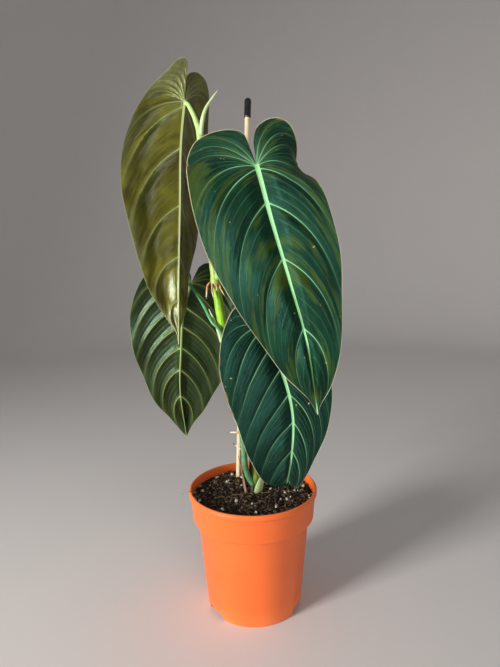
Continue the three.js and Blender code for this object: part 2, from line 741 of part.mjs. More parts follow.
// What grows beside the stem and the lowest stalk is seated against both, and on the mix.
function besideStem(solid) {
  const neighbours = [
    swollenStem, stalkSolid('lower_left', SEAT_GAP), mixSolid.translate([0, 0, SEAT_GAP]),
  ];
  return toGeometry(largestBody(wasm.Manifold.difference([solid, ...neighbours])));
}

function makeMiddleCataphyll() {
  const options = { sides: 8, steps: 8, squash: 0.7 };
  return besideStem(toSolid(rod(MIDDLE_CATAPHYLL_COURSE, along(MIDDLE_CATAPHYLL_RADII), options)));
}

const makeSheath = (name) => besideStem(toSolid(clasp(SHEATHS[name])));

// Each piece is a mesh of its own, with its own finish.
function piece(name, geometry, color, roughness) {
  const mesh = new THREE.Mesh(
    geometry, new THREE.MeshStandardMaterial({ color, roughness, metalness: 0 }),
  );
  mesh.name = name;
  return mesh;
}

const potted = new THREE.Group();
potted.add(piece('pot', makePot(), 0xe4733a, 0.5));
potted.add(piece('potting_mix', toGeometry(mixSolid), 0x2d2018, 0.95));

const support = new THREE.Group();
support.position.copy(stakeFoot);
support.quaternion.copy(stakeTurn);
const cap = piece('stake_cap', makeCap(), 0x101012, 0.25);
cap.position.set(0, 0, capBottom);
support.add(piece('stake', makeStake(), 0xe8d9ac, 0.7), cap);

const plant = new THREE.Group();
plant.add(piece('stem', makeStem(), 0x8fcf2e, 0.4));
const stalkColours = {
  front: 0x8fbf6a, lower_right: 0x86b06c, upper_left: 0xa4dc78, lower_left: 0x6fa593,
};
const bladeColours = {
  front: 0x1d4034, lower_right: 0x1c3c38, upper_left: 0x5a5526, lower_left: 0x39452c,
};
for (const name of Object.keys(BLADES)) {
  plant.add(piece(`petiole_${name}`, makeStalk(name), stalkColours[name], 0.45));
  plant.add(piece(`leaf_${name}`, blades[name].geometry(), bladeColours[name], 0.5));
}
plant.add(piece('new_leaf_sheath', makeNewSheath(), 0xa6e07a, 0.4));
plant.add(piece('middle_cataphyll', makeMiddleCataphyll(), 0xd6e8c0, 0.5));
plant.add(piece('basal_cataphyll', makeSheath('basal_cataphyll'), 0xb9cf8e, 0.5));
plant.add(piece('dry_sheath_right', makeSheath('dry_sheath_right'), 0x3a2417, 0.8));
plant.add(piece('dry_sheath_left', makeSheath('dry_sheath_left'), 0xa98478, 0.8));

const model = new THREE.Group();
model.add(potted, support, plant);

export default model;
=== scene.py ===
import math
import random

import bpy
import numpy as np
from mathutils import Matrix, Vector, noise


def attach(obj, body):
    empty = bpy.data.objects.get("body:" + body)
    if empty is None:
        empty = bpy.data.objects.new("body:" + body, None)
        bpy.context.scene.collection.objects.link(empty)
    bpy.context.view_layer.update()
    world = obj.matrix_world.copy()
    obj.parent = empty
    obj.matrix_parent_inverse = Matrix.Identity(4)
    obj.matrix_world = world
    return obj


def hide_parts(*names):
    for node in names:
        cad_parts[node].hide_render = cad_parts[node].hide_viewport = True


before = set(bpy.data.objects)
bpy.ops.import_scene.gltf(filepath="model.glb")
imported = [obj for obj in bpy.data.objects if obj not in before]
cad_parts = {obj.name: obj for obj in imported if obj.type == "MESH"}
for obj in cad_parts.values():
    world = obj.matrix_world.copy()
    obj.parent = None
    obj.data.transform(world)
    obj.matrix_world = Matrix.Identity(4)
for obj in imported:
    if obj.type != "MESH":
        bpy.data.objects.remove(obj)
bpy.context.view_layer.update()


# The view: from in front of the pot, a little above the middle of the plant, tilted down.
VIEW_FROM = (-0.0002, -0.4502, 0.3191)
VIEW_TILT_DOWN = 7.73
VIEW_ROLL = -0.99
LENS_MM = 27.04
camera_data = bpy.data.cameras.new("camera")
camera_data.sensor_width = 36.0
camera_data.lens = LENS_MM
camera_data.clip_start = 0.01
camera = bpy.data.objects.new("camera", camera_data)
bpy.context.collection.objects.link(camera)
tilt = Matrix.Rotation(math.radians(90.0 - VIEW_TILT_DOWN), 4, "X")
roll = Matrix.Rotation(math.radians(VIEW_ROLL), 4, "Z")
camera.matrix_world = Matrix.Translation(VIEW_FROM) @ tilt @ roll
bpy.context.scene.camera = camera


# The pot: a 12 cm nursery pot, thin orange polypropylene moulded in one shot. It has a plain
# tapered body, a wider collar with a rolled rim, and three drain pockets under the edge of its floor.
MM = 0.001
POT_HEIGHT = 113.0
POT_WALL = 1.4
POT_SIDES = 144
POT_OUTSIDE = [
    (43.9, 0.0), (44.5, 0.7), (52.2, 85.5), (56.0, 85.5), (56.8, 86.5), (58.3, 107.0), (60.0, 108.5),
    (60.0, 111.8), (58.9, POT_HEIGHT),
]
POT_HOLLOW = [
    (43.1, POT_WALL), (50.8, 86.9), (55.4, 87.3), (56.9, 108.5), (57.6, 112.0),
    (57.9, POT_HEIGHT + 1.0),
]
DRAIN_POCKET_TURNS = (96.0, 216.0, 336.0)
DRAIN_POCKET_HALF = 12.25
DRAIN_POCKET_TOP_HALF = 9.75
DRAIN_POCKET_HEIGHT = 5.0
DRAIN_POCKET_REACH = 35.0
DRAIN_HOLE_RADIUS = 2.5
DRAIN_HOLE_FROM_AXIS = 39.3
POT_EDGE_ROUNDING = 0.45


class Link:
    """An output of a node, for plain expressions in a finish or in the tree of a shape."""

    def __init__(self, socket):
        self.socket = socket

    @staticmethod
    def add(tree, kind, settings=None, values=None, output=0, **named):
        """A new node: its settings first, then the values or links of its sockets, which go by
        name, or by number where two of them share a name."""
        node = tree.nodes.new(kind)
        for name, setting in (settings or {}).items():
            setattr(node, name, setting)
        for name, value in named.items():
            values = {**(values or {}), name.replace("_", " "): value}
        for name, value in (values or {}).items():
            if isinstance(value, Link):
                tree.links.new(value.socket, node.inputs[name])
            else:
                node.inputs[name].default_value = value
        return Link(node.outputs[output])

    def _maths(operation, turned_round=False):
        def applied(self, *others):
            terms = (*others, self) if turned_round else (self, *others)
            tree = self.socket.id_data
            return Link.add(tree, "ShaderNodeMath", {"operation": operation}, dict(enumerate(terms)))

        return applied

    __add__, __radd__ = _maths("ADD"), _maths("ADD", True)
    __sub__, __rsub__ = _maths("SUBTRACT"), _maths("SUBTRACT", True)
    __mul__, __rmul__ = _maths("MULTIPLY"), _maths("MULTIPLY", True)
    __pow__ = _maths("POWER")
    wave, part, size = _maths("SINE"), _maths("FRACT"), _maths("ABSOLUTE")
    or_less = _maths("MINIMUM")

    def between(self, low, high):
        """0 at low and 1 at high, smooth in between; low may be the larger of the two."""
        settings = {"interpolation_type": "SMOOTHSTEP", "clamp": True}
        values = {"Value": self, "From Min": low, "From Max": high}
        return Link.add(self.socket.id_data, "ShaderNodeMapRange", settings, values)


class Nodes:
    """What a finish and the tree of a shape have in common."""

    def add(self, *node, **named):
        return Link.add(self.tree, *node, **named)


class Finish(Nodes):
    """A material in the making: the colour that is laid on so far, and its surface shader."""

    def __init__(self, name, **plain):
        self.material = bpy.data.materials.new(name)
        self.material.use_nodes = True
        self.tree = self.material.node_tree
        self.shader = self.tree.nodes["Principled BSDF"]
        for socket, value in plain.items():
            self.shader.inputs[socket.replace("_", " ")].default_value = value

    def place(self, stretch=(1.0, 1.0, 1.0)):
        own = self.add("ShaderNodeTexCoord", output=3)
        return self.add("ShaderNodeMapping", Vector=own, Scale=stretch)

    def height(self):
        return self.add("ShaderNodeSeparateXYZ", Vector=self.place(), output=2)

    def measure(self, name):
        return self.add("ShaderNodeAttribute", {"attribute_name": name}, output=2)

    def grain(self, scale, detail=4.0, roughness=0.55, place=None):
        """Noise of so many grains to the metre, over the piece unless another place is given."""
        return self.add(
            "ShaderNodeTexNoise", Vector=place or self.place(), Scale=scale, Detail=detail,
            Roughness=roughness,
        )

    def drawn_grain(self, stretch, detail, roughness=0.55):
        """Noise drawn out, with its own number of grains to the metre along each axis."""
        return self.grain(1.0, detail, roughness, self.place(stretch))

    def mixed(self, share, first, second):
        colours = [c if isinstance(c, Link) else (*c, 1.0) for c in (first, second)]
        settings = {"data_type": "RGBA", "clamp_factor": True}
        return self.add("ShaderNodeMix", settings, {0: share, 6: colours[0], 7: colours[1]}, 2)

    def ground(self, share, first, second):
        self.colour = self.mixed(share, first, second)

    def lay(self, share, colour):
        """Lays a colour over the ones so far, as far as its share goes."""
        self.colour = self.mixed(share, self.colour, colour)

    def close(self, roughness=None, relief=None, depth=0.0002):
        """Joins colour, roughness and relief to the surface shader."""
        self.tree.links.new(self.colour.socket, self.shader.inputs["Base Color"])
        if roughness is not None:
            self.tree.links.new(roughness.socket, self.shader.inputs["Roughness"])
        if relief is not None:
            normal = self.add("ShaderNodeBump", Height=relief, Distance=depth, Strength=1.0)
            self.tree.links.new(normal.socket, self.shader.inputs["Normal"])
        return self.material


def link_mesh(name, mesh):
    piece = bpy.data.objects.new(name, mesh)
    bpy.context.collection.objects.link(piece)
    return piece


def built(name, corners, faces):
    """A piece from its corners in metres and its faces."""
    mesh = bpy.data.meshes.new(name)
    mesh.from_pydata(corners, [], faces)
    return link_mesh(name, mesh)


def shaped(name, maker):
    """The plain mesh that an object's modifiers make, on an object of its own at the origin."""
    seen = maker.evaluated_get(bpy.context.evaluated_depsgraph_get())
    mesh = bpy.data.meshes.new_from_object(seen)
    bpy.data.objects.remove(maker)
    return link_mesh(name, mesh)


def smooth(piece, crease=None):
    piece.data.shade_smooth()
    if crease is not None:
        piece.data.set_sharp_from_angle(angle=math.radians(crease))


def paint(piece, finish):
    piece.data.materials.clear()
    piece.data.materials.append(finish)


def stand_for(piece, node):
    """Lets a finished piece ride on the one body, in place of a solid."""
    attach(piece, "root")
    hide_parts(node)


def circle(radius, height, sides):
    """The corners of a level ring about the Z axis, from sizes in millimetres."""
    turns = np.linspace(0.0, 2.0 * math.pi, sides, endpoint=False)
    return [
        (radius * math.cos(turn) * MM, radius * math.sin(turn) * MM, height * MM) for turn in turns
    ]


def band(low, high, sides):
    """The faces between two rings, from the numbers of their first corners."""
    following = [*range(1, sides), 0]
    return [(low + a, high + a, high + b, low + b) for a, b in enumerate(following)]


def turned(name, outline, sides):
    """A closed body turned about the Z axis from (radius, height) in millimetres."""
    corners = [corner for radius, height in outline for corner in circle(radius, height, sides)]
    faces = []
    for low in range(0, len(corners) - sides, sides):
        faces += [(a, d, c, b) for a, b, c, d in band(low, low + sides, sides)]
    faces.append(tuple(reversed(range(sides))))
    faces.append(tuple(range(len(corners) - sides, len(corners))))
    return built(name, corners, faces)


def pocket_block(turn, grow):
    """A drain pocket, a low wedge cut inwards from the foot, grown on every side."""
    half = DRAIN_POCKET_HALF + grow
    top_half = DRAIN_POCKET_TOP_HALF + grow
    top = DRAIN_POCKET_HEIGHT + grow
    near = DRAIN_POCKET_REACH - grow
    section = [(-half, -1.0), (half, -1.0), (top_half, top), (-top_half, top)]
    corners = [(reach * MM, across * MM, up * MM) for reach in (near, 90.0) for across, up in section]
    faces = [(3, 2, 1, 0), (4, 5, 6, 7), (0, 1, 5, 4), (1, 2, 6, 5), (2, 3, 7, 6), (3, 0, 4, 7)]
    block = built("drain_pocket", corners, faces)
    block.data.transform(Matrix.Rotation(math.radians(turn), 4, "Z"))
    return block


def drain_hole(turn):
    hole = turned("drain_hole", [(DRAIN_HOLE_RADIUS, 0.5), (DRAIN_HOLE_RADIUS, 9.0)], 32)
    hole.data.transform(Matrix.Translation((DRAIN_HOLE_FROM_AXIS * MM, 0.0, 0.0)))
    hole.data.transform(Matrix.Rotation(math.radians(turn), 4, "Z"))
    return hole


def cut(body, *cutters):
    """A body less the cutters, which are used up."""
    for cutter in cutters:
        step = body.modifiers.new("cut", "BOOLEAN")
        step.operation = "DIFFERENCE"
        step.solver = "EXACT"
        step.object = cutter
    result = shaped(body.name, body)
    for cutter in cutters:
        bpy.data.objects.remove(cutter)
    return result


inside = cut(
    turned("pot_inside", POT_HOLLOW, POT_SIDES),
    *[pocket_block(turn, POT_WALL) for turn in DRAIN_POCKET_TURNS],
)
pot = cut(
    turned("nursery_pot", POT_OUTSIDE, POT_SIDES), inside,
    *[pocket_block(turn, 0.0) for turn in DRAIN_POCKET_TURNS],
    *[drain_hole(turn) for turn in DRAIN_POCKET_TURNS],
)
rounding = pot.modifiers.new("rounding", "BEVEL")
rounding.width = POT_EDGE_ROUNDING * MM
rounding.segments = 2
rounding.angle_limit = math.radians(32.0)
rounding.use_clamp_overlap = True
pot = shaped("nursery_pot", pot)
smooth(pot, 40.0)

orange = Finish(
    "orange_plastic", Specular_IOR_Level=0.45, Coat_Weight=0.08, Coat_Roughness=0.35,
    Subsurface_Weight=0.06, Subsurface_Radius=(0.004, 0.0015, 0.0006),
)
cloud = orange.grain(28.0)
fine_grain = orange.grain(1400.0, 2.0)
# Fine streaks round the pot: scuffs that roughen and bump the plastic, and in the colour a painted
# sheen of paler orange.
scuffs_and_painted_sheen = orange.drawn_grain((60.0, 60.0, 900.0), 3.0).between(0.62, 0.8)
up = orange.height()
# Paler orange towards the foot, and a painted highlight along the top of the rim.
pale_foot_and_rim_highlight = up.between(0.02, 0.0) * 0.5 + up.between(0.1115, 0.1128) * 0.35
orange.ground(cloud.between(0.3, 0.7), (0.78, 0.136, 0.022), (0.82, 0.152, 0.027))
orange.lay(pale_foot_and_rim_highlight * cloud, (0.95, 0.34, 0.1))
orange.lay(scuffs_and_painted_sheen * 0.15, (0.97, 0.3, 0.07))
paint(pot, orange.close(0.36 + 0.12 * cloud + 0.1 * scuffs_and_painted_sheen, fine_grain + 0.6 * scuffs_and_painted_sheen, 0.00005))
stand_for(pot, "pot")


# The potting mix: dark peat and coir pressed in by hand, highest round the stem and sunk a little at
# the rim. Crumbs of peat, white perlite and tan coir fibres lie loose on it.
MIX_LEVEL = 106.5
MIX_RIM_DROP = 2.2
MIX_WALL = [(42.7, 1.8), (50.4, 87.3), (55.0, 87.7)]
MIX_EDGE_RADIUS = 56.1
MIX_RINGS = 64
MIX_SIDES = 216
MIX_LUMP = 1.5
MIX_LUMP_SIZES = ((14.0, 1.0), (5.0, 0.55), (2.2, 0.35))
MIX_FROM_POCKETS = 0.3
LOOSE_BITS_REACH = 0.0562
CRUMB_SEED = 5
PERLITE_SEED = 23
FIBRE_SEED = 31


def mix_height(x, y):
    """The top of the mix in millimetres: lumps of a few sizes on a low mound."""
    from_axis = math.hypot(x, y)
    level = MIX_LEVEL - MIX_RIM_DROP * (from_axis / MIX_EDGE_RADIUS) ** 4
    spot = Vector((x, y, 3.0))
    return level + MIX_LUMP * sum(part * noise.noise(spot / size) for size, part in MIX_LUMP_SIZES)


corners = [(0.0, 0.0, mix_height(0.0, 0.0) * MM)]
for ring in range(1, MIX_RINGS + 1):
    for side in range(MIX_SIDES):
        turn = 2.0 * math.pi * side / MIX_SIDES
        radius = MIX_EDGE_RADIUS * ring / MIX_RINGS
        x, y = radius * math.cos(turn), radius * math.sin(turn)
        corners.append((x * MM, y * MM, mix_height(x, y) * MM))
faces = [(0, 1 + side, 1 + (side + 1) % MIX_SIDES) for side in range(MIX_SIDES)]
rim = len(corners) - MIX_SIDES
for low in range(1, rim, MIX_SIDES):
    faces += band(low, low + MIX_SIDES, MIX_SIDES)
mix_top = built("mix_top", corners, faces)
for radius, height in reversed(MIX_WALL):
    faces += band(rim, len(corners), MIX_SIDES)
    rim = len(corners)
    corners += circle(radius, height, MIX_SIDES)
faces.append(tuple(reversed(range(rim, rim + MIX_SIDES))))
mix = cut(
    built("potting_mix_body", corners, faces),
    *[pocket_block(turn, POT_WALL + MIX_FROM_POCKETS) for turn in DRAIN_POCKET_TURNS],
)
smooth(mix, 60.0)

peat = Finish("peat", Specular_IOR_Level=0.25)
lump = peat.grain(260.0, 6.0, 0.65)
grit = peat.grain(1300.0, 4.0, 0.7)
strands = peat.drawn_grain((900.0, 260.0, 500.0), 3.0, 0.6)
peat.ground(lump.between(0.35, 0.7), (0.006, 0.0042, 0.003), (0.03, 0.02, 0.0135))
peat.lay(strands.between(0.6, 0.72) * 0.55, (0.12, 0.075, 0.042))
peat.lay(grit.between(0.7, 0.78) * 0.8, (0.32, 0.25, 0.18))
paint(mix, peat.close(0.7 + 0.25 * grit, lump + 0.5 * grit, 0.0014))
stand_for(mix, "potting_mix")


class Workshop(Nodes):
    """A Geometry Nodes tree in the making, with named inputs for its sizes."""

    def __init__(self, name, **inputs):
        self.tree = bpy.data.node_groups.new(name, "GeometryNodeTree")
        face = self.tree.interface
        face.new_socket("Geometry", in_out="INPUT", socket_type="NodeSocketGeometry")
        face.new_socket("Geometry", in_out="OUTPUT", socket_type="NodeSocketGeometry")
        kinds = {
            float: "NodeSocketFloat", int: "NodeSocketInt", bpy.types.Material: "NodeSocketMaterial",
        }
        self.keys = {}
        for key, value in inputs.items():
            socket = face.new_socket(key, in_out="INPUT", socket_type=kinds[type(value)])
            socket.default_value = value
            self.keys[key] = socket.identifier
        self.source = self.tree.nodes.new("NodeGroupInput")
        self.result = self.tree.nodes.new("NodeGroupOutput")

    def given(self, key="Geometry"):
        return Link(self.source.outputs[key])

    def measure(self, name, kind="FLOAT"):
        return self.add("GeometryNodeInputNamedAttribute", {"data_type": kind}, Name=name)

    def close(self, geometry, finish):
        """Ends the tree in plain mesh with its finish."""
        real = self.add("GeometryNodeRealizeInstances", Geometry=geometry)
        painted = self.add("GeometryNodeSetMaterial", Geometry=real, Material=finish)
        self.tree.links.new(painted.socket, self.result.inputs["Geometry"])

    def run(self, name, maker, **chosen):
        """Runs the tree on an object and leaves only the plain mesh that it makes."""
        step = maker.modifiers.new("made", "NODES")
        step.node_group = self.tree
        for key, value in chosen.items():
            step[self.keys[key]] = value
        return shaped(name, maker)


def random_value(work, low, high):
    """A value drawn for each strewn piece, or three values where the limits are triples."""
    if isinstance(low, tuple):
        settings, values, output = {"data_type": "FLOAT_VECTOR"}, {0: low, 1: high}, 0
    else:
        settings, values, output = {"data_type": "FLOAT"}, {2: low, 3: high}, 1
    values["Seed"] = work.given("seed")
    return work.add("FunctionNodeRandomValue", settings, values, output)


def strewn_points(work):
    """Points scattered over the ground, lifted a little off it."""
    points = work.add(
        "GeometryNodeDistributePointsOnFaces", {"distribute_method": "RANDOM"},
        Mesh=work.given(), Density=work.given("density"), Seed=work.given("seed"),
    )
    up = work.add("ShaderNodeCombineXYZ", Z=work.given("lift"))
    return work.add("GeometryNodeSetPosition", Geometry=points, Offset=up)


def kept_in_pot(work, strewn):
    """The strewn bits, those at the rim pressed against the pot's wall and not through it."""
    real = work.add("GeometryNodeRealizeInstances", Geometry=strewn)
    place = work.add("GeometryNodeInputPosition")
    x, y, z = (work.add("ShaderNodeSeparateXYZ", Vector=place, output=axis) for axis in range(3))
    from_axis = (x * x + y * y) ** 0.5
    pull = (LOOSE_BITS_REACH * from_axis ** -1.0).or_less(1.0)
    held = work.add("ShaderNodeCombineXYZ", X=x * pull, Y=y * pull, Z=z)
    return work.add("GeometryNodeSetPosition", Geometry=real, Position=held)


def lump_work(name, finish, fineness, flatness):
    """Angular lumps strewn over the ground, each turned and sized by chance."""
    work = Workshop(name, density=0.0, smallest=0.001, largest=0.002, lift=0.0003, seed=0)
    ball = work.add("GeometryNodeMeshIcoSphere", Radius=0.5, Subdivisions=fineness)
    knobs = work.add("ShaderNodeTexNoise", Scale=2.3, Detail=1.0, output="Color")
    push = work.add("ShaderNodeVectorMath", {"operation": "SUBTRACT"}, {0: knobs, 1: (0.5, 0.5, 0.5)})
    rough = work.add("GeometryNodeSetPosition", Geometry=ball, Offset=push)
    size = random_value(work, work.given("smallest"), work.given("largest"))
    flat = work.add(
        "ShaderNodeVectorMath", {"operation": "SCALE"}, {0: (1.0, 0.85, flatness)}, Scale=size,
    )
    strewn = work.add(
        "GeometryNodeInstanceOnPoints", Points=strewn_points(work), Instance=rough, Scale=flat,
        Rotation=random_value(work, (0.0, 0.0, 0.0), (6.28, 6.28, 6.28)),
    )
    work.close(kept_in_pot(work, strewn), finish)
    return work


def mix_copy():
    return link_mesh("strewing_ground", mix_top.data.copy())


crumb_brown = Finish("peat_crumbs", Specular_IOR_Level=0.25)
tone = crumb_brown.grain(330.0, 3.0)
grit = crumb_brown.grain(2200.0, 3.0)
crumb_brown.ground(tone.between(0.38, 0.6), (0.009, 0.0055, 0.0038), (0.075, 0.048, 0.028))
crumb_brown.lay(tone.between(0.57, 0.66) * 0.85, (0.24, 0.18, 0.1))
crumb_finish = crumb_brown.close(0.75 + 0.2 * grit, grit, 0.0004)
crumbs = lump_work("crumb_strewing", crumb_finish, 1, 0.7).run(
    "peat_crumbs", mix_copy(), density=120000.0, smallest=0.0008, largest=0.0046, lift=0.0002,
    seed=CRUMB_SEED,
)
stand_for(crumbs, "potting_mix")

perlite_white = Finish("perlite_finish", Specular_IOR_Level=0.3)
tone = perlite_white.grain(900.0)
perlite_white.ground(tone.between(0.35, 0.65), (0.5, 0.45, 0.38), (0.83, 0.81, 0.76))
perlite_finish = perlite_white.close(0.8 + 0.1 * tone, tone, 0.0005)
perlite = lump_work("perlite_strewing", perlite_finish, 2, 0.8).run(
    "perlite_grains", mix_copy(), density=5200.0, smallest=0.0007, largest=0.0042, lift=0.0008,
    seed=PERLITE_SEED,
)
smooth(perlite, 35.0)
stand_for(perlite, "potting_mix")


def fibre_work(name, finish):
    """Short curled fibres strewn flat over the ground."""
    work = Workshop(
        name, density=0.0, shortest=0.003, longest=0.009, thickness=0.0001, lift=0.0011, seed=0,
    )
    strand = work.add(
        "GeometryNodeCurveQuadraticBezier", Resolution=7, Start=(-0.5, 0.0, -0.03),
        Middle=(0.05, 0.42, 0.22), End=(0.5, -0.06, 0.0),
    )
    strewn = work.add(
        "GeometryNodeInstanceOnPoints", Points=strewn_points(work), Instance=strand,
        Rotation=random_value(work, (-0.35, -0.35, 0.0), (0.35, 0.35, 6.28)),
        Scale=random_value(work, work.given("shortest"), work.given("longest")),
    )
    section = work.add(
        "GeometryNodeCurvePrimitiveCircle", Resolution=4, Radius=work.given("thickness"),
    )
    swept = work.add(
        "GeometryNodeCurveToMesh", Curve=kept_in_pot(work, strewn), Profile_Curve=section,
        Fill_Caps=True,
    )
    work.close(swept, finish)
    return work


fibre_tan = Finish("coir_fibres", Specular_IOR_Level=0.3)
tone = fibre_tan.grain(160.0, 2.0)
fibre_tan.ground(tone.between(0.35, 0.65), (0.07, 0.04, 0.022), (0.42, 0.29, 0.17))
fibre_finish = fibre_tan.close(0.6 + 0.2 * tone)
fibres = fibre_work("fibre_strewing", fibre_finish).run(
    "coir_fibres", mix_copy(), density=26000.0, shortest=0.003, longest=0.0105, thickness=0.00013,
    seed=FIBRE_SEED,
)
smooth(fibres)
stand_for(fibres, "potting_mix")
bpy.data.objects.remove(mix_top)


# The stake: a split and turned bamboo stick with straight fibres, pushed into the mix behind the
# stem. Its upper end wears a black plastic cap, a plain sleeve with a round top.
STAKE_AT_MIX = (-14.5, 36.0, 107.0)
STAKE_LEAN_PER_MM = 0.0442
STAKE_BURIED = 82.0
STAKE_RADIUS = 2.5
STAKE_TURNINGS = 60
STAKE_SEED = 7
STAKE_IN_CAP = [(2.3, -0.3), (2.3, 14.0)]
CAP_RADIUS = 3.2
CAP_LENGTH = 17.5
CAP_TOP_ABOVE_MIX = 365.5
CAP_BORE = [(2.6, 14.0), (2.6, 0.3), (2.75, 0.0)]
CAP_LIP = [
    (CAP_RADIUS - 0.1, 0.0), (CAP_RADIUS + 0.08, 0.25), (CAP_RADIUS + 0.08, 1.3),
    (CAP_RADIUS - 0.05, 1.6),
]


def flowing(points, steps=40, mirrored=True):
    """A smooth course through points, evenly stepped between each two of them."""
    knots = np.array(points, dtype=float)
    first = 2.0 * knots[0] - knots[1] if mirrored else knots[0]
    last = 2.0 * knots[-1] - knots[-2] if mirrored else knots[-1]
    padded = np.vstack([first, knots, last])
    share = np.linspace(0.0, 1.0, steps, endpoint=False)[:, None]
    spans = []
    for a, b, c, d in zip(padded, padded[1:], padded[2:], padded[3:]):
        spans.append(
            b + 0.5 * (c - a) * share + (a - 2.5 * b + 2.0 * c - 0.5 * d) * share**2
            + (1.5 * (b - c) + 0.5 * (d - a)) * share**3
        )
    return np.vstack([*spans, knots[-1]])


def run_along(line):
    """The distance from the start of a line to each of its points."""
    return np.concatenate([[0.0], np.cumsum(np.linalg.norm(np.diff(line, axis=0), axis=1))])


def point_on(line, run, distance):
    """The points of a line at the given distances, one column for each axis at the end."""
    return np.stack([np.interp(distance, run, line[:, axis]) for axis in range(line.shape[1])], -1)


stake_lean = Vector((STAKE_LEAN_PER_MM, 0.0, 1.0)).normalized()
stake_turn = stake_lean.to_track_quat("Z", "Y").to_matrix().to_4x4()
stake_foot = Vector(STAKE_AT_MIX) - stake_lean * STAKE_BURIED
stake_set = Matrix.Translation(stake_foot * MM) @ stake_turn
cap_bottom = STAKE_BURIED + CAP_TOP_ABOVE_MIX - CAP_LENGTH
draw = random.Random(STAKE_SEED)
stake_outline = [(STAKE_RADIUS - 0.4, 0.0), (STAKE_RADIUS, 0.8)]
for step in range(1, STAKE_TURNINGS):
    height = 0.8 + (cap_bottom - 1.1) * step / STAKE_TURNINGS
    stake_outline.append((STAKE_RADIUS + draw.uniform(-0.06, 0.02), height))
stake_outline.append((STAKE_RADIUS, cap_bottom - 0.35))
stake_outline += [(radius, cap_bottom + height) for radius, height in STAKE_IN_CAP]
stake = turned("bamboo_stake", stake_outline, 36)
stake.data.transform(stake_set)
smooth(stake, 40.0)
bamboo = Finish("bamboo", Specular_IOR_Level=0.35)
streak = bamboo.drawn_grain((1500.0, 1500.0, 22.0), 3.0, 0.6)
speck = bamboo.drawn_grain((500.0, 500.0, 60.0), 2.0)
bamboo.ground(streak.between(0.35, 0.68), (0.62, 0.46, 0.25), (0.88, 0.79, 0.58))
bamboo.lay(speck.between(0.66, 0.75) * 0.6, (0.34, 0.2, 0.09))
paint(stake, bamboo.close(0.5 + 0.2 * streak, streak))
stand_for(stake, "stake")

cap_dome = []
for turn in range(0, 89, 8):
    angle = math.radians(turn)
    cap_dome.append((CAP_RADIUS * math.cos(angle), CAP_LENGTH - CAP_RADIUS * (1.0 - math.sin(angle))))
cap = turned("stake_end_cap", CAP_BORE + CAP_LIP + cap_dome, 48)
cap.data.transform(stake_set @ Matrix.Translation((0.0, 0.0, cap_bottom * MM)))
smooth(cap, 45.0)
black = Finish("black_plastic", Specular_IOR_Level=0.6, Coat_Weight=0.5, Coat_Roughness=0.12)
haze = black.grain(300.0, 3.0)
black.ground(haze.between(0.4, 0.7), (0.004, 0.004, 0.005), (0.012, 0.012, 0.014))
paint(cap, black.close(0.16 + 0.16 * haze, haze, 0.00003))
stand_for(cap, "stake_cap")


# The stem: the plant's climbing shoot, rooted in the mix in front of the stake and leaning to the
# left. It has a swollen node wherever a leaf grew, and short aerial roots that dried in the air.
STEM_COURSE = [
    (1.5, 6, 82), (1.5, 5, 106), (1.5, 5, 132), (-3, 5, 165), (-12, 4, 210), (-23.7, 1, 259),
    (-30, 0, 304), (-35, -1.5, 350),
]
STEM_RADII = [4.7, 4.1, 4.1, 4.1, 3.1]
STEM_NODES = (0.14, 0.37, 0.63, 0.83)
NODE_SWELLING = 1.1
NODE_LENGTH = 0.018
STEM_ROOTS = [
    ([(-32, -1, 306), (-37, -3.4, 302), (-38.6, -4.2, 290)], 1.0),
    ([(-31, -1, 306), (-33, -5.6, 301), (-31.8, -7, 290)], 0.9),
    ([(-29, 0, 306), (-29, -5.2, 302), (-29.4, -6.4, 296)], 0.8),
    ([(-28, -1, 306), (-25.8, -4.6, 300), (-21.8, -5.2, 292.5)], 0.9),
    ([(-30, 1, 306), (-30.5, 5.6, 301), (-31.5, 7.4, 291)], 0.9),
    ([(-2, 5, 160), (-11, 17, 159), (-24, 28, 156)], 1.3),
    ([(0, 6, 146), (-9, 19, 141), (-19, 29, 144)], 1.1),
]
ROOT_TAPER = (1.25, 1.0, 1.0, 0.85, 0.6, 0.3)
ROOT_SHRIVEL = 0.66


def rod_work(name, finish):
    """A round rod swept along a line whose points carry the radius, with closed ends."""
    work = Workshop(name, sides=16, uneven=0.0, finish=finish)
    marked = work.add(
        "GeometryNodeStoreNamedAttribute", {"data_type": "FLOAT", "domain": "POINT"},
        Geometry=work.given(), Name="along", Value=work.add("GeometryNodeSplineParameter"),
    )
    section = work.add(
        "GeometryNodeCurvePrimitiveCircle", Resolution=work.given("sides"), Radius=1.0,
    )
    swept = work.add(
        "GeometryNodeCurveToMesh", Curve=marked, Profile_Curve=section, Fill_Caps=True,
        Scale=work.add("GeometryNodeInputRadius"),
    )
    bumps = work.add("ShaderNodeTexNoise", Scale=420.0, Detail=2.0) - 0.5
    push = work.add(
        "ShaderNodeVectorMath", {"operation": "SCALE"}, {0: work.add("GeometryNodeInputNormal")},
        Scale=bumps * work.given("uneven"),
    )
    uneven = work.add("GeometryNodeSetPosition", Geometry=swept, Offset=push)
    work.close(uneven, work.given("finish"))
    return work


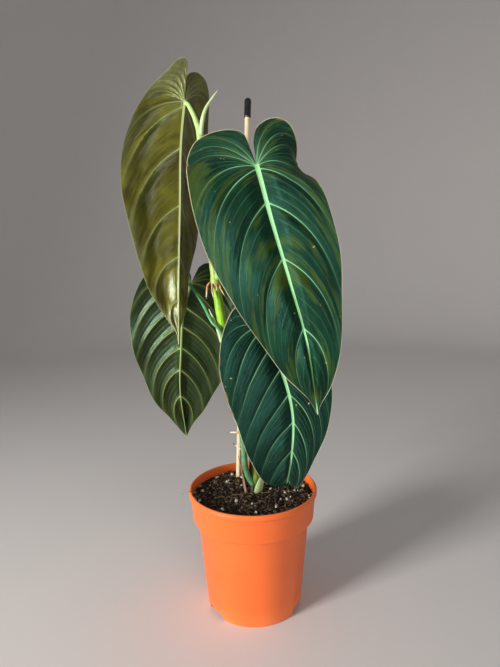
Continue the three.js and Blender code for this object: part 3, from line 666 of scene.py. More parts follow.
def rod(name, course, radii, finish, sides=20, steps=80, uneven=0.0, swelling=None):
    """A rod along a smooth course in millimetres, its radii spread evenly along it."""
    line = flowing(course)
    run = run_along(line)
    round_end = np.array([0.0, 0.04, 0.15, 0.35, 0.65, 1.0])
    near, far = radii[0] * round_end / run[-1], 1.0 - radii[-1] * round_end / run[-1]
    middle = np.linspace(near[-1], far[-1], steps)[1:-1]
    shares = np.concatenate([near, middle, far[::-1]])
    thick = np.interp(shares, np.linspace(0.0, 1.0, len(radii)), radii)
    if swelling is not None:
        thick += swelling(shares)
    from_end = np.minimum(shares, 1.0 - shares) * run[-1] / thick
    thick *= np.sqrt(1.0 - np.clip(0.985 - from_end, 0.0, 1.0) ** 2)
    curve = bpy.data.curves.new(name, "CURVE")
    curve.dimensions = "3D"
    spline = curve.splines.new("POLY")
    spline.points.add(len(shares) - 1)
    for knot, spot, radius in zip(spline.points, point_on(line, run, shares * run[-1]), thick):
        knot.co = (*(spot * MM), 1.0)
        knot.radius = radius * MM
    maker = bpy.data.objects.new(name, curve)
    bpy.context.collection.objects.link(maker)
    piece = rods.run(name, maker, sides=sides, uneven=uneven * MM, finish=finish)
    smooth(piece, 60.0)
    return piece


def node_swelling(shares):
    rises = [np.exp(-(((shares - node) / NODE_LENGTH) ** 2)) for node in STEM_NODES]
    return NODE_SWELLING * np.max(rises, axis=0)


def fleshy_finish(name, shade, light, streak_colour, gloss=0.38, depth=0.0001, marks=None):
    """Living green tissue: lengthwise streaks, pale flecks and a waxy skin."""
    flesh = Finish(
        name, Specular_IOR_Level=0.5, Subsurface_Weight=0.12, Subsurface_Radius=(0.002, 0.003, 0.0008),
    )
    streak = flesh.drawn_grain((900.0, 900.0, 45.0), 3.0)
    cloud = flesh.grain(70.0)
    fleck = flesh.drawn_grain((800.0, 800.0, 260.0), 2.0)
    flesh.ground(cloud.between(0.35, 0.65), shade, light)
    flesh.lay(streak.between(0.52, 0.7) * 0.45, streak_colour)
    flesh.lay(fleck.between(0.68, 0.74) * 0.5, (0.75, 0.78, 0.5))
    if marks is not None:
        marks(flesh)
    return flesh.close(gloss + 0.15 * cloud, streak + 0.4 * fleck, depth)


def stem_marks(flesh):
    """The old wood at the foot, the paler sheath of the last leaf and brown rings at its nodes."""
    up = flesh.height()
    nodes = [(up - height).size() for height in (0.304, 0.262)]
    rings = nodes[0].between(0.0022, 0.0008) + nodes[1].between(0.002, 0.0008)
    flesh.lay(up.between(0.185, 0.13) * 0.8, (0.16, 0.22, 0.03))
    flesh.lay(up.between(0.3, 0.312), (0.32, 0.46, 0.1))
    flesh.lay(rings * 0.5, (0.42, 0.3, 0.1))


stem_finish = fleshy_finish(
    "stem_skin", (0.2, 0.45, 0.01), (0.34, 0.66, 0.02), (0.45, 0.62, 0.1), depth=0.0002,
    marks=stem_marks,
)
rods = rod_work("rod_sweep", stem_finish)
stem = rod(
    "main_stem", STEM_COURSE, STEM_RADII, stem_finish, sides=32, steps=260, uneven=0.5,
    swelling=node_swelling,
)
stand_for(stem, "stem")

stray_fibre = rod(
    "stray_fibre", [(-50, -13, 108), (-55, -14, 114), (-61, -15.5, 114.6), (-66, -16.5, 112.2)],
    [0.35, 0.3, 0.2, 0.12], fibre_finish, sides=8, steps=50, uneven=0.1,
)
stand_for(stray_fibre, "potting_mix")

root_skin = Finish("root_skin", Specular_IOR_Level=0.3)
along = root_skin.measure("along")
tone = root_skin.grain(500.0)
root_skin.ground(tone.between(0.35, 0.65), (0.42, 0.17, 0.08), (0.62, 0.36, 0.2))
root_skin.lay(1.0 - along.between(0.0, 0.2), (0.3, 0.5, 0.08))
root_skin.lay(along.between(0.55, 0.75) * 0.9, (0.72, 0.62, 0.5))
root_skin.lay(along.between(0.86, 0.93) * tone.between(0.3, 0.5), (0.03, 0.018, 0.012))
root_finish = root_skin.close(0.6 + 0.25 * tone, tone, 0.0005)
for number, (course, radius) in enumerate(STEM_ROOTS, 1):
    root = rod(
        f"aerial_root_{number}", course, [radius * share for share in ROOT_TAPER], root_finish,
        sides=12, steps=40, uneven=ROOT_SHRIVEL,
    )
    stand_for(root, "stem")


# The leaves: heart-shaped blades that hang from the joint at the end of their stalks, with two
# back lobes above the joint and a drip tip. The blade swells between the veins, which run from
# the midrib to the margin. The upper side is dark velvet with pale veins, the underside glossy.
PILLOW_HEIGHT = 4.2
PILLOW_FULL_WIDTH = 24.0
PILLOW_STEEPNESS = 3.2
PILLOW_MARGIN = 0.4
FULL_BEND_VEIN = 2.0
MIDRIB_TURN_REACH = 7.0
PLEATS_BETWEEN_VEINS = 4
ROWS_BETWEEN_VEINS = 22
SHARE_STEPS = 34
VEIN_CROWDING = 0.11
MARGIN_CROWDING = 1.6
RIGHT_WAVES_SHIFT = 0.35
WIDEST_SPACING = 60.0
STALK_END_ALONG = 2.5
STALK_END_BEHIND = 4.0


def unit(vectors):
    """The same directions, each one long."""
    return vectors / np.maximum(np.linalg.norm(vectors, axis=-1, keepdims=True), 1e-9)


def bend_to(values, share):
    """A value that runs through a list of values spread evenly from share 0 to share 1."""
    return np.interp(share, np.linspace(0.0, 1.0, len(values)), values)


def smooth_step(values):
    held = np.clip(values, 0.0, 1.0)
    return held * held * (3.0 - 2.0 * held)


class Blade:
    """A blade between its veins. A place on it is a vein number, which runs on between the veins
    from the sinus to the tip, and a share of the way from the midrib to the margin."""

    def __init__(
        self, course, faces, halves, vein_starts, vein_ends, wave, lobe_veins, sweep, bend=22.0,
        full_swell=0.22,
    ):
        self.line = flowing(course)
        self.run = run_along(self.line)
        self.crown = self.run[40]
        self.length = self.run[-1] - self.crown
        self.faces = unit(np.array(faces, dtype=float))
        self.halves = halves
        self.starts = vein_starts
        self.ends = vein_ends
        self.veins = len(vein_starts) - 1
        self.wave = wave
        self.lobe_veins = lobe_veins
        self.sweep = sweep
        self.bend = bend
        self.full_swell = full_swell

    def frame(self, distance):
        """The midrib's place, the upper side and the left side, at a distance from the joint."""
        place = np.clip(np.asarray(distance) + self.crown, 0.0, self.run[-1])
        middle = point_on(self.line, self.run, place)
        forward = unit(
            point_on(self.line, self.run, np.minimum(place + 1.0, self.run[-1]))
            - point_on(self.line, self.run, np.maximum(place - 1.0, 0.0))
        )
        reach = np.clip(np.asarray(distance) / self.length, 0.0, 1.0)[..., None]
        up = self.faces[0] * (1.0 - reach) + self.faces[1] * reach
        up = unit(up - forward * np.sum(up * forward, axis=-1, keepdims=True))
        return middle, up, np.cross(forward, up), reach[..., 0]

    def flat_place(self, half, vein, share):
        """How far along the midrib and across from it a place is on the flattened blade, where
        each vein is a curve with one bend, from the midrib to the margin."""
        margin = flowing(half["outline"], mirrored=False)
        margin_run = run_along(margin)
        part = vein / self.veins
        start = np.stack([bend_to(self.starts, part), np.zeros_like(vein)], -1)
        end = point_on(margin, margin_run, bend_to(self.ends, part) * margin_run[-1])
        bend = np.radians(self.bend * np.minimum(1.0, vein / FULL_BEND_VEIN) ** 2)
        x, y = np.moveaxis(0.5 * (end - start), -1, 0)
        turned_chord = [x * np.cos(bend) - y * np.sin(bend), x * np.sin(bend) + y * np.cos(bend)]
        middle = start + np.stack(turned_chord, -1)
        q = share[..., None]
        flat = (1 - q) ** 2 * start + 2 * q * (1 - q) * middle + q**2 * end
        return flat[..., 0], flat[..., 1]

    def pillow(self, share, nerve, spacing):
        """How far the blade swells up between its veins."""
        height = PILLOW_HEIGHT * np.minimum(1.0, spacing / PILLOW_FULL_WIDTH)
        bulge = 1.0 - np.abs(2.0 * (nerve % 1.0) - 1.0) ** PILLOW_STEEPNESS
        near_margin = smooth_step((1.0 - share) / PILLOW_MARGIN)
        return height * bulge * (smooth_step(share / self.full_swell) * near_margin)

    def half_surface(self, name, sign, vein, share):
        """Places in millimetres and their measures, for grids of vein numbers and shares."""
        half = self.halves[name]
        forward, across = self.flat_place(half, vein, share)
        middle, up, left, reach = self.frame(forward)
        fold = np.radians(half["fold"][0] * (1 - reach) + half["fold"][1] * reach)
        curl = np.full_like(forward, half["curl"])
        if "roll" in half:
            roll = half["roll"]
            curl += roll["curl"] * np.exp(-(((forward - roll["at"]) / roll["reach"]) ** 2))
        angle = fold - curl * across
        outwards = (np.sin(fold) - np.sin(angle)) / curl
        rise = (np.cos(angle) - np.cos(fold)) / curl
        place = middle + sign * left * outwards[..., None] + up * rise[..., None]
        turn = np.clip(across / MIDRIB_TURN_REACH, 0.0, 1.0)[..., None]
        normal = up * np.cos(angle)[..., None] - sign * left * np.sin(angle)[..., None]
        normal = unit(normal * turn + up * (1.0 - turn))
        turns = self.wave["count"] * (vein / self.veins) + self.wave["start"]
        turns = turns + (0.0 if sign > 0 else RIGHT_WAVES_SHIFT)
        waving = self.wave["height"] * np.sin(2.0 * np.pi * turns) * share**2
        nerve = self.nerve(vein, share)
        spacing = 1.0 / np.maximum(steepness(place, nerve), 0.01)
        fade = smooth_step((self.veins - vein) / 0.5)[..., None]
        place = place + normal * (waving + self.pillow(share, nerve, spacing))[..., None] * fade
        last = self.veins + self.lobe_veins - 2.0
        return place, {
            "upper_side": normal, "from_midrib": np.hypot(across, np.minimum(forward, 0.0)),
            "share": share, "nerve": nerve, "spacing": np.minimum(spacing, WIDEST_SPACING),
            "reach": np.clip(forward / self.length, 0.0, 1.0),
            "bare": np.where((nerve > 0.5) & (nerve < last + 0.5), 0.0, 1.0),
        }

    def nerve(self, vein, share):
        """The vein number on the finished blade, where more veins fan out into the back lobes
        and all of them sweep along the margin before they end."""
        swept = vein - self.sweep * share**3
        return np.where(swept < 1.0, swept * self.lobe_veins, swept + self.lobe_veins - 1.0)


def steepness(place, number):
    """How fast a number changes over a surface, for each millimetre straight across it."""
    down, along = np.gradient(place, axis=0), np.gradient(place, axis=1)
    number_down, number_along = np.gradient(number, axis=0), np.gradient(number, axis=1)
    e, f, g = (np.sum(a * b, axis=-1) for a, b in ((down, down), (down, along), (along, along)))
    area = np.maximum(e * g - f * f, 1e-6)
    square = (number_down**2 * g - 2.0 * number_down * number_along * f + number_along**2 * e) / area
    return np.sqrt(square)


def two_skins(rows, columns):
    """The faces of a sheet's upper skin, of its lower one and of the rim that joins them."""
    number = np.arange(rows * columns).reshape(rows, columns)
    upper = np.stack([number[:-1, :-1], number[1:, :-1], number[1:, 1:], number[:-1, 1:]], -1)
    upper = upper.reshape(-1, 4)
    edge = np.concatenate([number[0], number[1:, -1], number[-1, -2::-1], number[-2:0:-1, 0]])
    following = np.roll(edge, -1)
    rim = np.stack([edge, following, following + number.size, edge + number.size], -1)
    return upper, upper[:, ::-1] + number.size, rim


def keep_measure(mesh, key, values, domain="POINT"):
    kind, slot = ("FLOAT_VECTOR", "vector") if values.ndim == 2 else ("FLOAT", "value")
    kept = mesh.attributes.new(key, kind, domain)
    kept.data.foreach_set(slot, values.astype(np.float32).ravel())


def blade_mesh(name, blade):
    """Both skins of a blade on its middle surface, with the measures that its relief and finish
    need; the tree that follows parts the skins."""
    vein_numbers = np.linspace(0.0, blade.veins, blade.veins * ROWS_BETWEEN_VEINS + 1)
    from_vein_line = vein_numbers % 1.0
    crowded = from_vein_line - VEIN_CROWDING * np.sin(2.0 * np.pi * from_vein_line)
    vein_numbers = np.floor(vein_numbers) + crowded
    steps = np.linspace(0.0, 1.0, SHARE_STEPS + 1)
    shares = 0.5 * steps**MARGIN_CROWDING + 0.5 * (1.0 - (1.0 - steps) ** MARGIN_CROWDING)
    shares[0], shares[-1] = 0.0, 1.0
    vein, share = np.meshgrid(vein_numbers, shares, indexing="ij")
    halves = []
    for half, sign in (("left", 1.0), ("right", -1.0)):
        place, found = blade.half_surface(half, sign, vein, share)
        spans = np.linalg.norm(np.diff(place, axis=1), axis=-1)
        inwards = np.cumsum(spans[:, ::-1], axis=1)[:, ::-1]
        found["from_margin"] = np.concatenate([inwards, np.zeros_like(spans[:, :1])], axis=1)
        halves.append({"place": place, **found})
    left, right = halves
    found = {key: np.concatenate([left[key][:, :0:-1], right[key]], axis=1) for key in left}
    place, upper_side = found.pop("place"), found.pop("upper_side")
    upper, lower, rim = two_skins(*place.shape[:2])
    corners = np.concatenate([place.reshape(-1, 3)] * 2) * MM
    blank = built(name, corners.tolist(), np.concatenate([upper, lower, rim]).tolist())
    for key, values in found.items():
        keep_measure(blank.data, key, np.tile(values.ravel(), 2))
    keep_measure(blank.data, "upper_side", np.tile(upper_side.reshape(-1, 3), (2, 1)))
    keep_measure(blank.data, "side", np.repeat([1.0, -1.0], len(corners) // 2))
    underside = np.repeat([0.0, 1.0, 0.0], [len(upper), len(lower), len(rim)])
    keep_measure(blank.data, "underside", underside, "FACE")
    return blank


def distance_to_vein(nerve, spacing, bare):
    """Millimetres to the nearest vein; `bare` is 1 beyond the first and the last vein."""
    return ((nerve + 0.5).part() - 0.5).size() * spacing + bare * 50.0


def blade_work():
    """Parts the skins of a blade and raises its veins below, its unevenness and its ripples."""
    work = Workshop(
        "blade_relief", thickness=0.00055, vein_ridge=0.0005, midrib_ridge=0.0019,
        vein_groove=0.0004, vein_crest=0.0004, midrib_groove=0.0006, pleat=0.000013, uneven=0.0014,
        uneven_scale=45.0, upper_finish=stem_finish, under_finish=stem_finish,
    )
    share, reach, nerve = (work.measure(key) for key in ("share", "reach", "nerve"))
    spacing = work.measure("spacing")
    from_vein = distance_to_vein(nerve, spacing, work.measure("bare"))
    from_midrib, side = work.measure("from_midrib"), work.measure("side")
    fading = 1.0 - 0.75 * share
    narrow = 1.0 - 0.7 * reach
    below = (
        work.given("vein_ridge") * from_vein.between(1.1, 0.0) * fading
        + work.given("midrib_ridge") * from_midrib.between(2.4 * narrow, 0.4 * narrow) * narrow
    )
    above = (
        -1.0 * work.given("vein_groove") * from_vein.between(2.2, 0.3) * fading
        - work.given("midrib_groove") * from_midrib.between(3.2 * narrow, 1.2 * narrow) * narrow
        + work.given("vein_crest") * from_vein.between(0.6, 0.1) * fading
    )
    skin = 0.5 * work.given("thickness") + above + (below - above) * side.between(0.5, -0.5)
    hills = work.add("ShaderNodeTexNoise", Scale=work.given("uneven_scale"), Detail=2.0)
    pleats = (nerve * (2.0 * math.pi * PLEATS_BETWEEN_VEINS) + hills * 5.0).wave()
    pleats = pleats * work.given("pleat") * spacing
    away = from_midrib.between(2.0, 14.0)
    common = (hills - 0.5) * work.given("uneven") * away + pleats * away * share.between(1.0, 0.75)
    push = work.add(
        "ShaderNodeVectorMath", {"operation": "SCALE"},
        {0: work.measure("upper_side", "FLOAT_VECTOR")}, Scale=skin * side + common,
    )
    parted = work.add("GeometryNodeSetPosition", Geometry=work.given(), Offset=push)
    whole = work.add("GeometryNodeMergeByDistance", Geometry=parted, Distance=0.00002)
    painted = work.add(
        "GeometryNodeSetMaterial", Geometry=whole, Material=work.given("upper_finish"),
    )
    under = work.add(
        "FunctionNodeCompare", {"data_type": "FLOAT", "operation": "GREATER_THAN"},
        {0: work.measure("underside"), 1: 0.5},
    )
    real = work.add("GeometryNodeRealizeInstances", Geometry=painted)
    done = work.add(
        "GeometryNodeSetMaterial", Geometry=real, Selection=under,
        Material=work.given("under_finish"),
    )
    work.tree.links.new(done.socket, work.result.inputs["Geometry"])
    return work


blade_relief = blade_work()


class LeafSkin(Finish):
    """A finish of a blade, with the masks of what runs over it: `line` for the veins, `rib` for the
    midrib, `edge` for the margin, and `streak` and `patch` for grain that runs with the veins."""

    def __init__(self, name, rib_base, vein_half, **plain):
        super().__init__(name, **plain)
        self.share, reach, nerve = (self.measure(key) for key in ("share", "reach", "nerve"))
        share, spacing = self.share, self.measure("spacing")
        self.from_vein = distance_to_vein(nerve, spacing, self.measure("bare"))
        self.from_margin = self.measure("from_margin")
        half = vein_half * (1.0 - 0.6 * share) + 0.35 * share.between(0.09, 0.0)
        line = self.from_vein.between(half + 0.2, half - 0.05)
        line = line * (1.0 - 0.88 * share.between(0.05, 0.95))
        from_fine_vein = ((nerve * float(PLEATS_BETWEEN_VEINS) + 0.5).part() - 0.5).size()
        fine = (from_fine_vein * spacing * (1.0 / PLEATS_BETWEEN_VEINS)).between(0.4, 0.1)
        fine = fine * (1.0 - share) * share.between(0.03, 0.2)
        self.line = line + (1.0 - line) * fine * 0.2
        half_rib = (1.0 - reach) ** 1.4 * rib_base + 0.35
        self.rib = self.measure("from_midrib").between(half_rib + 0.25, half_rib - 0.05)
        self.edge = self.from_margin.between(0.85, 0.3)
        self.streak = self.grain(1.0, 2.0, place=self.along_veins(nerve, 95.0, 5.0))
        self.patch = self.grain(1.0, 3.0, place=self.along_veins(nerve, 2.6, 1.7))

    def along_veins(self, nerve, across, outwards):
        return self.add("ShaderNodeCombineXYZ", X=nerve * across, Y=self.share * outwards)

    def painted_vein_sheen(self, reach, fading):
        """A painted sheen: paler colour along both sides of a vein."""
        return self.from_vein.between(reach, 0.5) * (1.0 - fading * self.share)


def velvet_finish(name, deep, green, olive, vein_colour, olive_from, shine):
    """The upper side: dark green velvet with pale veins, a paler midrib and a thin cream margin."""
    velvet = LeafSkin(
        name, rib_base=1.4, vein_half=0.3, Specular_IOR_Level=shine,
        Specular_Tint=(0.28, 0.95, 0.76, 1.0), Sheen_Weight=0.05, Sheen_Roughness=0.35,
        Sheen_Tint=(0.4, 0.85, 0.75, 1.0),
    )
    cloud = velvet.grain(38.0)
    nap = velvet.grain(1500.0, 3.0)
    scorch = velvet.grain(55.0, 3.0).between(0.6, 0.68) * velvet.from_margin.between(3.2, 0.6)
    fleck = velvet.grain(210.0, 1.0).between(0.77, 0.785)
    velvet.ground(cloud.between(0.32, 0.68), deep, green)
    velvet.lay(velvet.patch.between(olive_from, olive_from + 0.1) * 0.9, olive)
    velvet.lay(velvet.streak.between(0.42, 0.75) * 0.045, vein_colour)
    # A painted sheen: paler colour beside the veins.
    velvet.lay(velvet.painted_vein_sheen(2.6, 0.8) * 0.06, vein_colour)
    velvet.lay(velvet.line * 0.8, vein_colour)
    velvet.lay(velvet.rib * 0.97, velvet.mixed(cloud, vein_colour, (0.44, 0.86, 0.36)))
    velvet.lay(velvet.edge * 0.85, (0.62, 0.55, 0.33))
    velvet.lay(scorch, (0.3, 0.17, 0.05))
    velvet.lay(fleck * 0.8, (0.42, 0.33, 0.16))
    roughness = 0.22 + 0.12 * nap + 0.12 * velvet.streak
    return velvet.close(roughness, nap + 1.8 * velvet.streak, 0.00022)


def underside_finish(name, deep, light, brown, vein_colour, shine, gloss):
    """The underside: glossy, with pale raised veins and a net of small ones between them."""
    under = LeafSkin(
        name, rib_base=1.0, vein_half=0.38, Specular_IOR_Level=0.7, Specular_Tint=(*shine, 1.0),
    )
    cloud = under.grain(34.0)
    net = under.grain(520.0, 3.0)
    under.ground(cloud.between(0.35, 0.68), deep, light)
    under.lay(under.patch.between(0.48, 0.64) * 0.8, brown)
    under.lay(under.streak.between(0.5, 0.75) * 0.08, vein_colour)
    # A painted sheen: paler colour beside the veins.
    under.lay(under.painted_vein_sheen(3.0, 0.6) * 0.18, vein_colour)
    under.lay(under.line * 0.8, vein_colour)
    under.lay(under.rib, vein_colour)
    under.lay(under.edge * 0.6, vein_colour)
    roughness = gloss + 0.1 * cloud + 0.08 * net + 0.25 * under.rib
    return under.close(roughness, 0.6 * net + under.streak, 0.00015)


bronze_under = underside_finish(
    "bronze_underside", deep=(0.06, 0.056, 0.002), light=(0.115, 0.11, 0.006),
    brown=(0.033, 0.024, 0.001), vein_colour=(0.27, 0.32, 0.11), shine=(0.85, 0.95, 0.72), gloss=0.15,
)
velvet_green = velvet_finish(
    "green_velvet", deep=(0.0005, 0.008, 0.003), green=(0.0015, 0.022, 0.0075),
    olive=(0.032, 0.05, 0.001), vein_colour=(0.25, 0.56, 0.27), olive_from=0.5, shine=0.34,
)
stalk_finish = fleshy_finish("stalk_skin", (0.3, 0.52, 0.13), (0.5, 0.74, 0.26), (0.2, 0.38, 0.1))


def hang_leaf(name, blade, upper_finish, under_finish, node):
    """The finished blade of a leaf."""
    leaf = blade_relief.run(
        name, blade_mesh(name, blade), upper_finish=upper_finish, under_finish=under_finish,
    )
    smooth(leaf, 50.0)
    stand_for(leaf, node)


def grow_stalk(name, blade, course, radii, finish, node):
    """The stalk of a leaf, from its seat on the stem to the joint under the end of the midrib."""
    middle, up, _, _ = blade.frame(np.array(STALK_END_ALONG))
    behind = middle - up * STALK_END_BEHIND
    course = [*course, tuple(behind), tuple(middle - 0.6 * up)]
    stalk = rod(name, course, radii, finish, sides=24, steps=140, uneven=0.25)
    stand_for(stalk, node)


# The front leaf, the largest in view, turns its upper side to the front.
front_blade = Blade(
    course=[
        (-4, -46, 431), (7, -66, 392), (17, -75.5, 352), (30, -80.5, 306), (43, -80.5, 258),
        (51, -76, 204),
    ],
    faces=[(-0.12, -1, 0.28), (-0.12, -1, 0.1)],
    halves={
        "left": {
            "outline": [
                (-28, 1.5), (-33, 6), (-36, 16), (-36, 29), (-32, 41), (-18, 50), (2, 53), (30, 54),
                (58, 52.5), (91, 45), (137, 31), (158, 22), (172, 12), (182, 5), (195, 0),
            ],
            "fold": (15, 10), "curl": 0.005,
        },
        "right": {
            "outline": [
                (-20, 3), (-31, 8), (-35, 16), (-34, 25), (-28, 33), (-16, 39), (-4, 43), (1, 44.5),
                (4, 42), (9, 40.8), (24, 41), (45, 42.5), (82, 40.5), (123, 30), (150, 22), (170, 14),
                (179, 9), (187, 3.5), (195, 0),
            ],
            "fold": (15, 10), "curl": 0.005,
            "roll": {"at": -2, "reach": 22, "curl": 0.04},
        },
    },
    vein_starts=[0, 0, 0, 2, 29, 72, 126, 195],
    vein_ends=[0, 0.17, 0.3, 0.44, 0.6, 0.74, 0.88, 1],
    wave={"height": 1.6, "count": 3.5, "start": 0.1},
    lobe_veins=3, sweep=0.5,
)
grow_stalk(
    "front_stalk", front_blade, [(-30, 0, 306), (-22, -13, 324), (-9, -34, 360), (3, -54, 386)],
    [2.8, 2, 1.8, 1.7], stalk_finish, "petiole_front",
)
hang_leaf("front_leaf", front_blade, velvet_green, bronze_under, "leaf_front")


# The lower right leaf hangs in front of the stem, and its tip curls back under.
lower_right_blade = Blade(
    course=[
        (0, -25, 302), (10, -36, 270), (26, -46, 231), (34, -48.5, 195), (33, -44.5, 158),
        (30, -36, 133), (28, -22, 125), (27, -9, 128),
    ],
    faces=[(-0.12, -1, 0.3), (0, -1, -0.5)],
    halves={
        "left": {
            "outline": [
                (-16, 1.5), (-21, 6), (-21, 17), (-10, 29), (7, 41), (22, 48), (42, 50.5), (70, 50),
                (93, 46), (116, 37.5), (138, 27), (156, 15), (174, 0),
            ],
            "fold": (11, 8), "curl": 0.006,
        },
        "right": {
            "outline": [
                (-16, 1.5), (-21, 6), (-21, 16), (-10, 27), (7, 36), (25, 40), (45, 39), (67, 35),
                (84, 30), (101, 25), (120, 19), (136, 14), (152, 9), (174, 0),
            ],
            "fold": (11, 8), "curl": 0.006,
        },
    },
    vein_starts=[0, 0, 0, 3, 20, 40, 62, 86, 112, 142, 174],
    vein_ends=[0, 0.15, 0.29, 0.44, 0.54, 0.64, 0.725, 0.805, 0.88, 0.94, 1],
    wave={"height": 1.4, "count": 3, "start": 0.55},
    lobe_veins=2, sweep=0.5,
)
grow_stalk(
    "lower_right_stalk", lower_right_blade,
    [(-6, 4, 182), (-3, -6, 206), (2, -19, 240), (8, -30, 264)],
    [2.5, 2, 1.7, 1.6], stalk_finish, "petiole_lower_right",
)
blue_velvet = velvet_finish(
    "blue_green_velvet", deep=(0.0004, 0.006, 0.0035), green=(0.0012, 0.014, 0.008),
    olive=(0.005, 0.024, 0.005), vein_colour=(0.2, 0.44, 0.25), olive_from=0.58, shine=0.26,
)
hang_leaf(
    "lower_right_leaf", lower_right_blade, blue_velvet, bronze_under, "leaf_lower_right",
)


# The upper left leaf stands highest and shows its bronze underside, folded along the midrib.
upper_left_blade = Blade(
    course=[
        (-49, 16, 505), (-55, 20, 465), (-59.5, 17, 425), (-61.5, 12, 372), (-63.5, 3, 310),
        (-64.5, -6, 250),
    ],
    faces=[(-0.6, 0.8, 0.2), (-0.55, 0.8, 0)],
    halves={
        "left": {
            "outline": [
                (-21, 1), (-26, 8), (-28, 18), (-24, 30), (-14, 38), (-2, 43), (14, 46), (42, 46),
                (76, 41), (105, 32), (126, 26), (158, 18.5), (180, 12), (200, 4.5), (217, 0),
            ],
            "fold": (31, 31), "curl": 0.004,
        },
        "right": {
            "outline": [
                (-32, 0.6), (-35, 4), (-32, 10), (-22, 18), (-5, 32), (23, 44), (52, 51), (82, 51),
                (118, 42.5), (150, 33), (171, 25), (195, 10), (205, 2.5), (217, 0),
            ],
            "fold": (31, 31), "curl": 0.004,
        },
    },
    vein_starts=[0, 0, 0, 4, 41, 92, 138, 177, 217],
    vein_ends=[0, 0.13, 0.25, 0.38, 0.52, 0.66, 0.78, 0.89, 1],
    wave={"height": 1.5, "count": 4, "start": 0.3},
    lobe_veins=4, sweep=0.6, bend=12.0, full_swell=0.55,
)
grow_stalk(
    "upper_left_stalk", upper_left_blade,
    [(-34.5, -1.4, 345), (-37, -2.5, 380), (-39.5, -4, 427), (-43.5, 1.5, 443), (-50, 12, 458)],
    [4.6, 4.2, 3.9, 3.5, 2.1, 1.7], stalk_finish, "petiole_upper_left",
)
hang_leaf(
    "upper_left_leaf", upper_left_blade, velvet_green, bronze_under, "leaf_upper_left",
)


# The lower left leaf also shows its underside, olive green, on a long blue-green stalk from the
# foot of the stem.
lower_left_blade = Blade(
    course=[
        (-44.5, 29, 330), (-54.5, 24, 304), (-63.5, 27, 276), (-68, 35, 238), (-72, 47, 193),
        (-69.5, 63, 141),
    ],
    faces=[(0, 1, 0.3), (0, 1, 0.3)],
    halves={
        "left": {
            "outline": [
                (-16, 1.5), (-22, 6), (-25, 15), (-22, 27), (-11, 38), (5, 46), (22, 51), (42, 52.5),
                (75, 50), (108, 39), (137, 24), (156, 9), (171, 0),
            ],
            "fold": (9, 9), "curl": 0.008,
        },
        "right": {
            "outline": [
                (-6, 2.5), (-12, 9), (-15, 20), (-8, 35), (9, 44), (30, 49.5), (46, 51), (74, 47.5),
                (100, 39), (130, 26.5), (153, 13), (163, 6), (171, 0),
            ],
            "fold": (12, 12), "curl": 0.006,
        },
    },
    vein_starts=[0, 0, 0, 4, 24, 44, 66, 90, 120, 171],
    vein_ends=[0, 0.14, 0.28, 0.43, 0.525, 0.615, 0.71, 0.795, 0.885, 1],
    wave={"height": 1.5, "count": 3.5, "start": 0.8},
    lobe_veins=3, sweep=0.6, bend=18.0,
)
blue_stalk_finish = fleshy_finish(
    "blue_stalk_skin", (0.06, 0.2, 0.07), (0.11, 0.34, 0.15), (0.04, 0.15, 0.05), gloss=0.3,
)
grow_stalk(
    "lower_left_stalk", lower_left_blade,
    [
        (1, 3, 111), (-6, -1.5, 128), (-8.7, -2.5, 158), (-15.5, -4, 205), (-24.8, -5.8, 256),
        (-34.5, -3, 270), (-43.5, 9, 285.5),
    ],
    [2.9, 2.6, 2.0, 1.45, 1.25], blue_stalk_finish, "petiole_lower_left",
)
olive_under = underside_finish(
    "olive_underside", deep=(0.004, 0.011, 0.001), light=(0.012, 0.026, 0.003),
    brown=(0.014, 0.013, 0.001), vein_colour=(0.3, 0.4, 0.13), shine=(0.45, 0.68, 0.48), gloss=0.22,
)
hang_leaf(
    "lower_left_leaf", lower_left_blade, velvet_green, olive_under, "leaf_lower_left",
)


# Young and old shoots: the pointed sheath of the next leaf beside the top stalk, a pale pointed
# cataphyll half way up, and at the foot a broad cataphyll and two dry sheaths.
pale_sheath = fleshy_finish(
    "pale_sheath_skin", (0.42, 0.55, 0.25), (0.62, 0.74, 0.42), (0.3, 0.45, 0.18), gloss=0.42,
)
new_sheath = rod(
    "new_leaf_spike",
    [(-39.5, -4.5, 427), (-37.6, -6.5, 440), (-34.6, -6, 450), (-29.6, -5.5, 458), (-23.8, -5, 465.5)],
    [2.0, 1.9, 1.6, 1.1, 0.35], pale_sheath, sides=24, steps=90, uneven=0.15,
)
stand_for(new_sheath, "new_leaf_sheath")
middle_cataphyll = rod(
    "pointed_cataphyll", [(-26, 0.5, 250), (-30.6, 0.6, 266), (-36.8, -0.5, 281)],
    [1.7, 1.4, 0.35], pale_sheath, sides=20, steps=60, uneven=0.2,
)
stand_for(middle_cataphyll, "middle_cataphyll")


SHEATH_ROWS = 36
SHEATH_COLUMNS = 40


def clasping_sheath(name, finish, node, slot, **sizes):
    """A curved sheet round part of the stem, highest in the middle, with a ragged upper edge."""
    height, radii, turns = sizes["height"], sizes["radii"], sizes["turns"]
    shares = (np.linspace(0.0, 1.0, number + 1) for number in (SHEATH_ROWS, SHEATH_COLUMNS))
    row, column = np.meshgrid(*shares, indexing="ij")
    turn = np.radians(turns[0] + (turns[1] - turns[0]) * column)
    top = height * (0.3 + 0.7 * np.sin(np.pi * column).clip(0.0) ** 0.8)
    wear = np.array([noise.noise(Vector((place * 9.0, height, 1.0))) for place in column[0]])
    up = top * row * (1.0 + sizes["ragged"] * wear * row)
    radius = radii[0] + (radii[1] - radii[0]) * up / height
    skins = []
    for distance in (radius + sizes["thickness"] * (1.0 - 0.4 * row), radius):
        around = np.stack([distance * np.cos(turn), distance * np.sin(turn), np.zeros_like(turn)], -1)
        skin = np.array(sizes["centre"]) + np.array(sizes["lean"]) * up[..., None] + around
        skins.append(skin.reshape(-1, 3) * MM)
    faces = np.concatenate(two_skins(*row.shape))[:, [0, 3, 2, 1]]
    sheath = built(name, np.concatenate(skins).tolist(), faces.tolist())
    paint(sheath, finish)
    smooth(sheath, 50.0)
    stand_for(sheath, node)


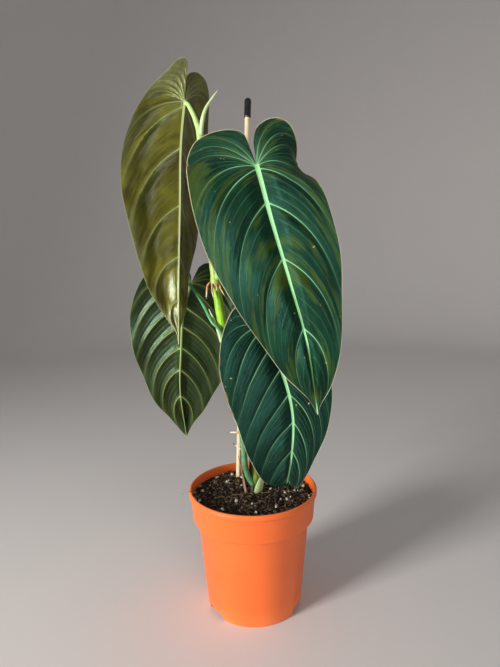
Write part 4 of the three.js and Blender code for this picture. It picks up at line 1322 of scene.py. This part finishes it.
def dry_finish(name, dark, light):
    """Dead sheath: brown papery skin with fibres that run up it."""
    dry = Finish(name, Specular_IOR_Level=0.25)
    tone = dry.drawn_grain((700.0, 700.0, 60.0), 4.0)
    dry.ground(tone.between(0.35, 0.65), dark, light)
    return dry.close(0.65 + 0.2 * tone, tone, 0.0004)


clasping_sheath(
    "broad_cataphyll", pale_sheath, "basal_cataphyll", "sheath_pale",
    centre=(2, 4.2, 104), lean=(0.12, -0.06, 1), radii=(5.9, 7.4), turns=(-100, 20), height=22,
    thickness=1.0, ragged=0.05,
)
clasping_sheath(
    "dry_sheath_front", dry_finish("dark_dry_sheath_skin", (0.02, 0.012, 0.008), (0.1, 0.06, 0.04)),
    "dry_sheath_right", "sheath_dry",
    centre=(1.5, 5, 104), lean=(0, 0, 1), radii=(5.6, 5.6), turns=(-150, -103), height=37,
    thickness=0.7, ragged=0.2,
)
clasping_sheath(
    "dry_sheath_side", dry_finish("dry_sheath_skin", (0.13, 0.06, 0.035), (0.36, 0.2, 0.14)),
    "dry_sheath_left", "sheath_dry",
    centre=(-2.6, 1.1, 104), lean=(-0.16, -0.06, 1), radii=(4.4, 3.9), turns=(150, 235), height=39,
    thickness=0.7, ragged=0.2,
)


# The setting: a round studio with a plain pale floor that curves up into a plain wall, a strong
# soft light on the left, a weak one at the front right, and an even pale sky above.
STUDIO_RADIUS = 2400.0
STUDIO_COVE = 900.0
STUDIO_HEIGHT = 2600.0
STUDIO_SIDES = 96
BEAM_SPREAD = 100.0
studio_outline = [(20.0, 0.0), (STUDIO_RADIUS - STUDIO_COVE, 0.0)]
for turn in range(6, 91, 6):
    angle = math.radians(turn)
    across = STUDIO_RADIUS - STUDIO_COVE * (1.0 - math.sin(angle))
    studio_outline.append((across, STUDIO_COVE * (1.0 - math.cos(angle))))
studio_outline.append((STUDIO_RADIUS, STUDIO_HEIGHT))
corners = []
faces = [tuple(range(STUDIO_SIDES))]
for across, up in studio_outline:
    if corners:
        faces += band(len(corners) - STUDIO_SIDES, len(corners), STUDIO_SIDES)
    corners += circle(across, up, STUDIO_SIDES)
floor = built("studio_floor", corners, faces)
smooth(floor)
pale_floor = Finish("floor_finish", Roughness=0.85, Specular_IOR_Level=0.2)
pale_floor.ground(pale_floor.grain(6.0, 3.0), (0.74, 0.71, 0.69), (0.77, 0.74, 0.72))
paint(floor, pale_floor.close())


def soft_light(name, place, aim, width, height, watts, tint):
    """A soft box with a grid, which keeps its light off the floor beside it."""
    data = bpy.data.lights.new(name, "AREA")
    data.spread = math.radians(BEAM_SPREAD)
    data.shape = "RECTANGLE"
    data.size = width
    data.size_y = height
    data.energy = watts
    data.color = tint
    lamp = bpy.data.objects.new(name, data)
    bpy.context.collection.objects.link(lamp)
    turn = (Vector(aim) - Vector(place)).to_track_quat("-Z", "Y")
    lamp.matrix_world = Matrix.Translation(place) @ turn.to_matrix().to_4x4()


soft_light(
    "window_left", place=(-1.15, -0.85, 0.42), aim=(0.0, 0.0, 0.27), width=0.35, height=0.6,
    watts=10.0, tint=(1.0, 0.98, 0.95),
)
soft_light(
    "fill_right", place=(0.5, -1.3, 0.35), aim=(0.0, 0.0, 0.25), width=0.8, height=0.8, watts=2.1,
    tint=(0.97, 0.98, 1.0),
)
surround = bpy.data.worlds.new("surround")
surround.use_nodes = True
surround.node_tree.nodes["Background"].inputs["Color"].default_value = (0.85, 0.86, 0.88, 1.0)
surround.node_tree.nodes["Background"].inputs["Strength"].default_value = 0.3
bpy.context.scene.world = surround
bpy.context.scene.view_settings.view_transform = "Standard"
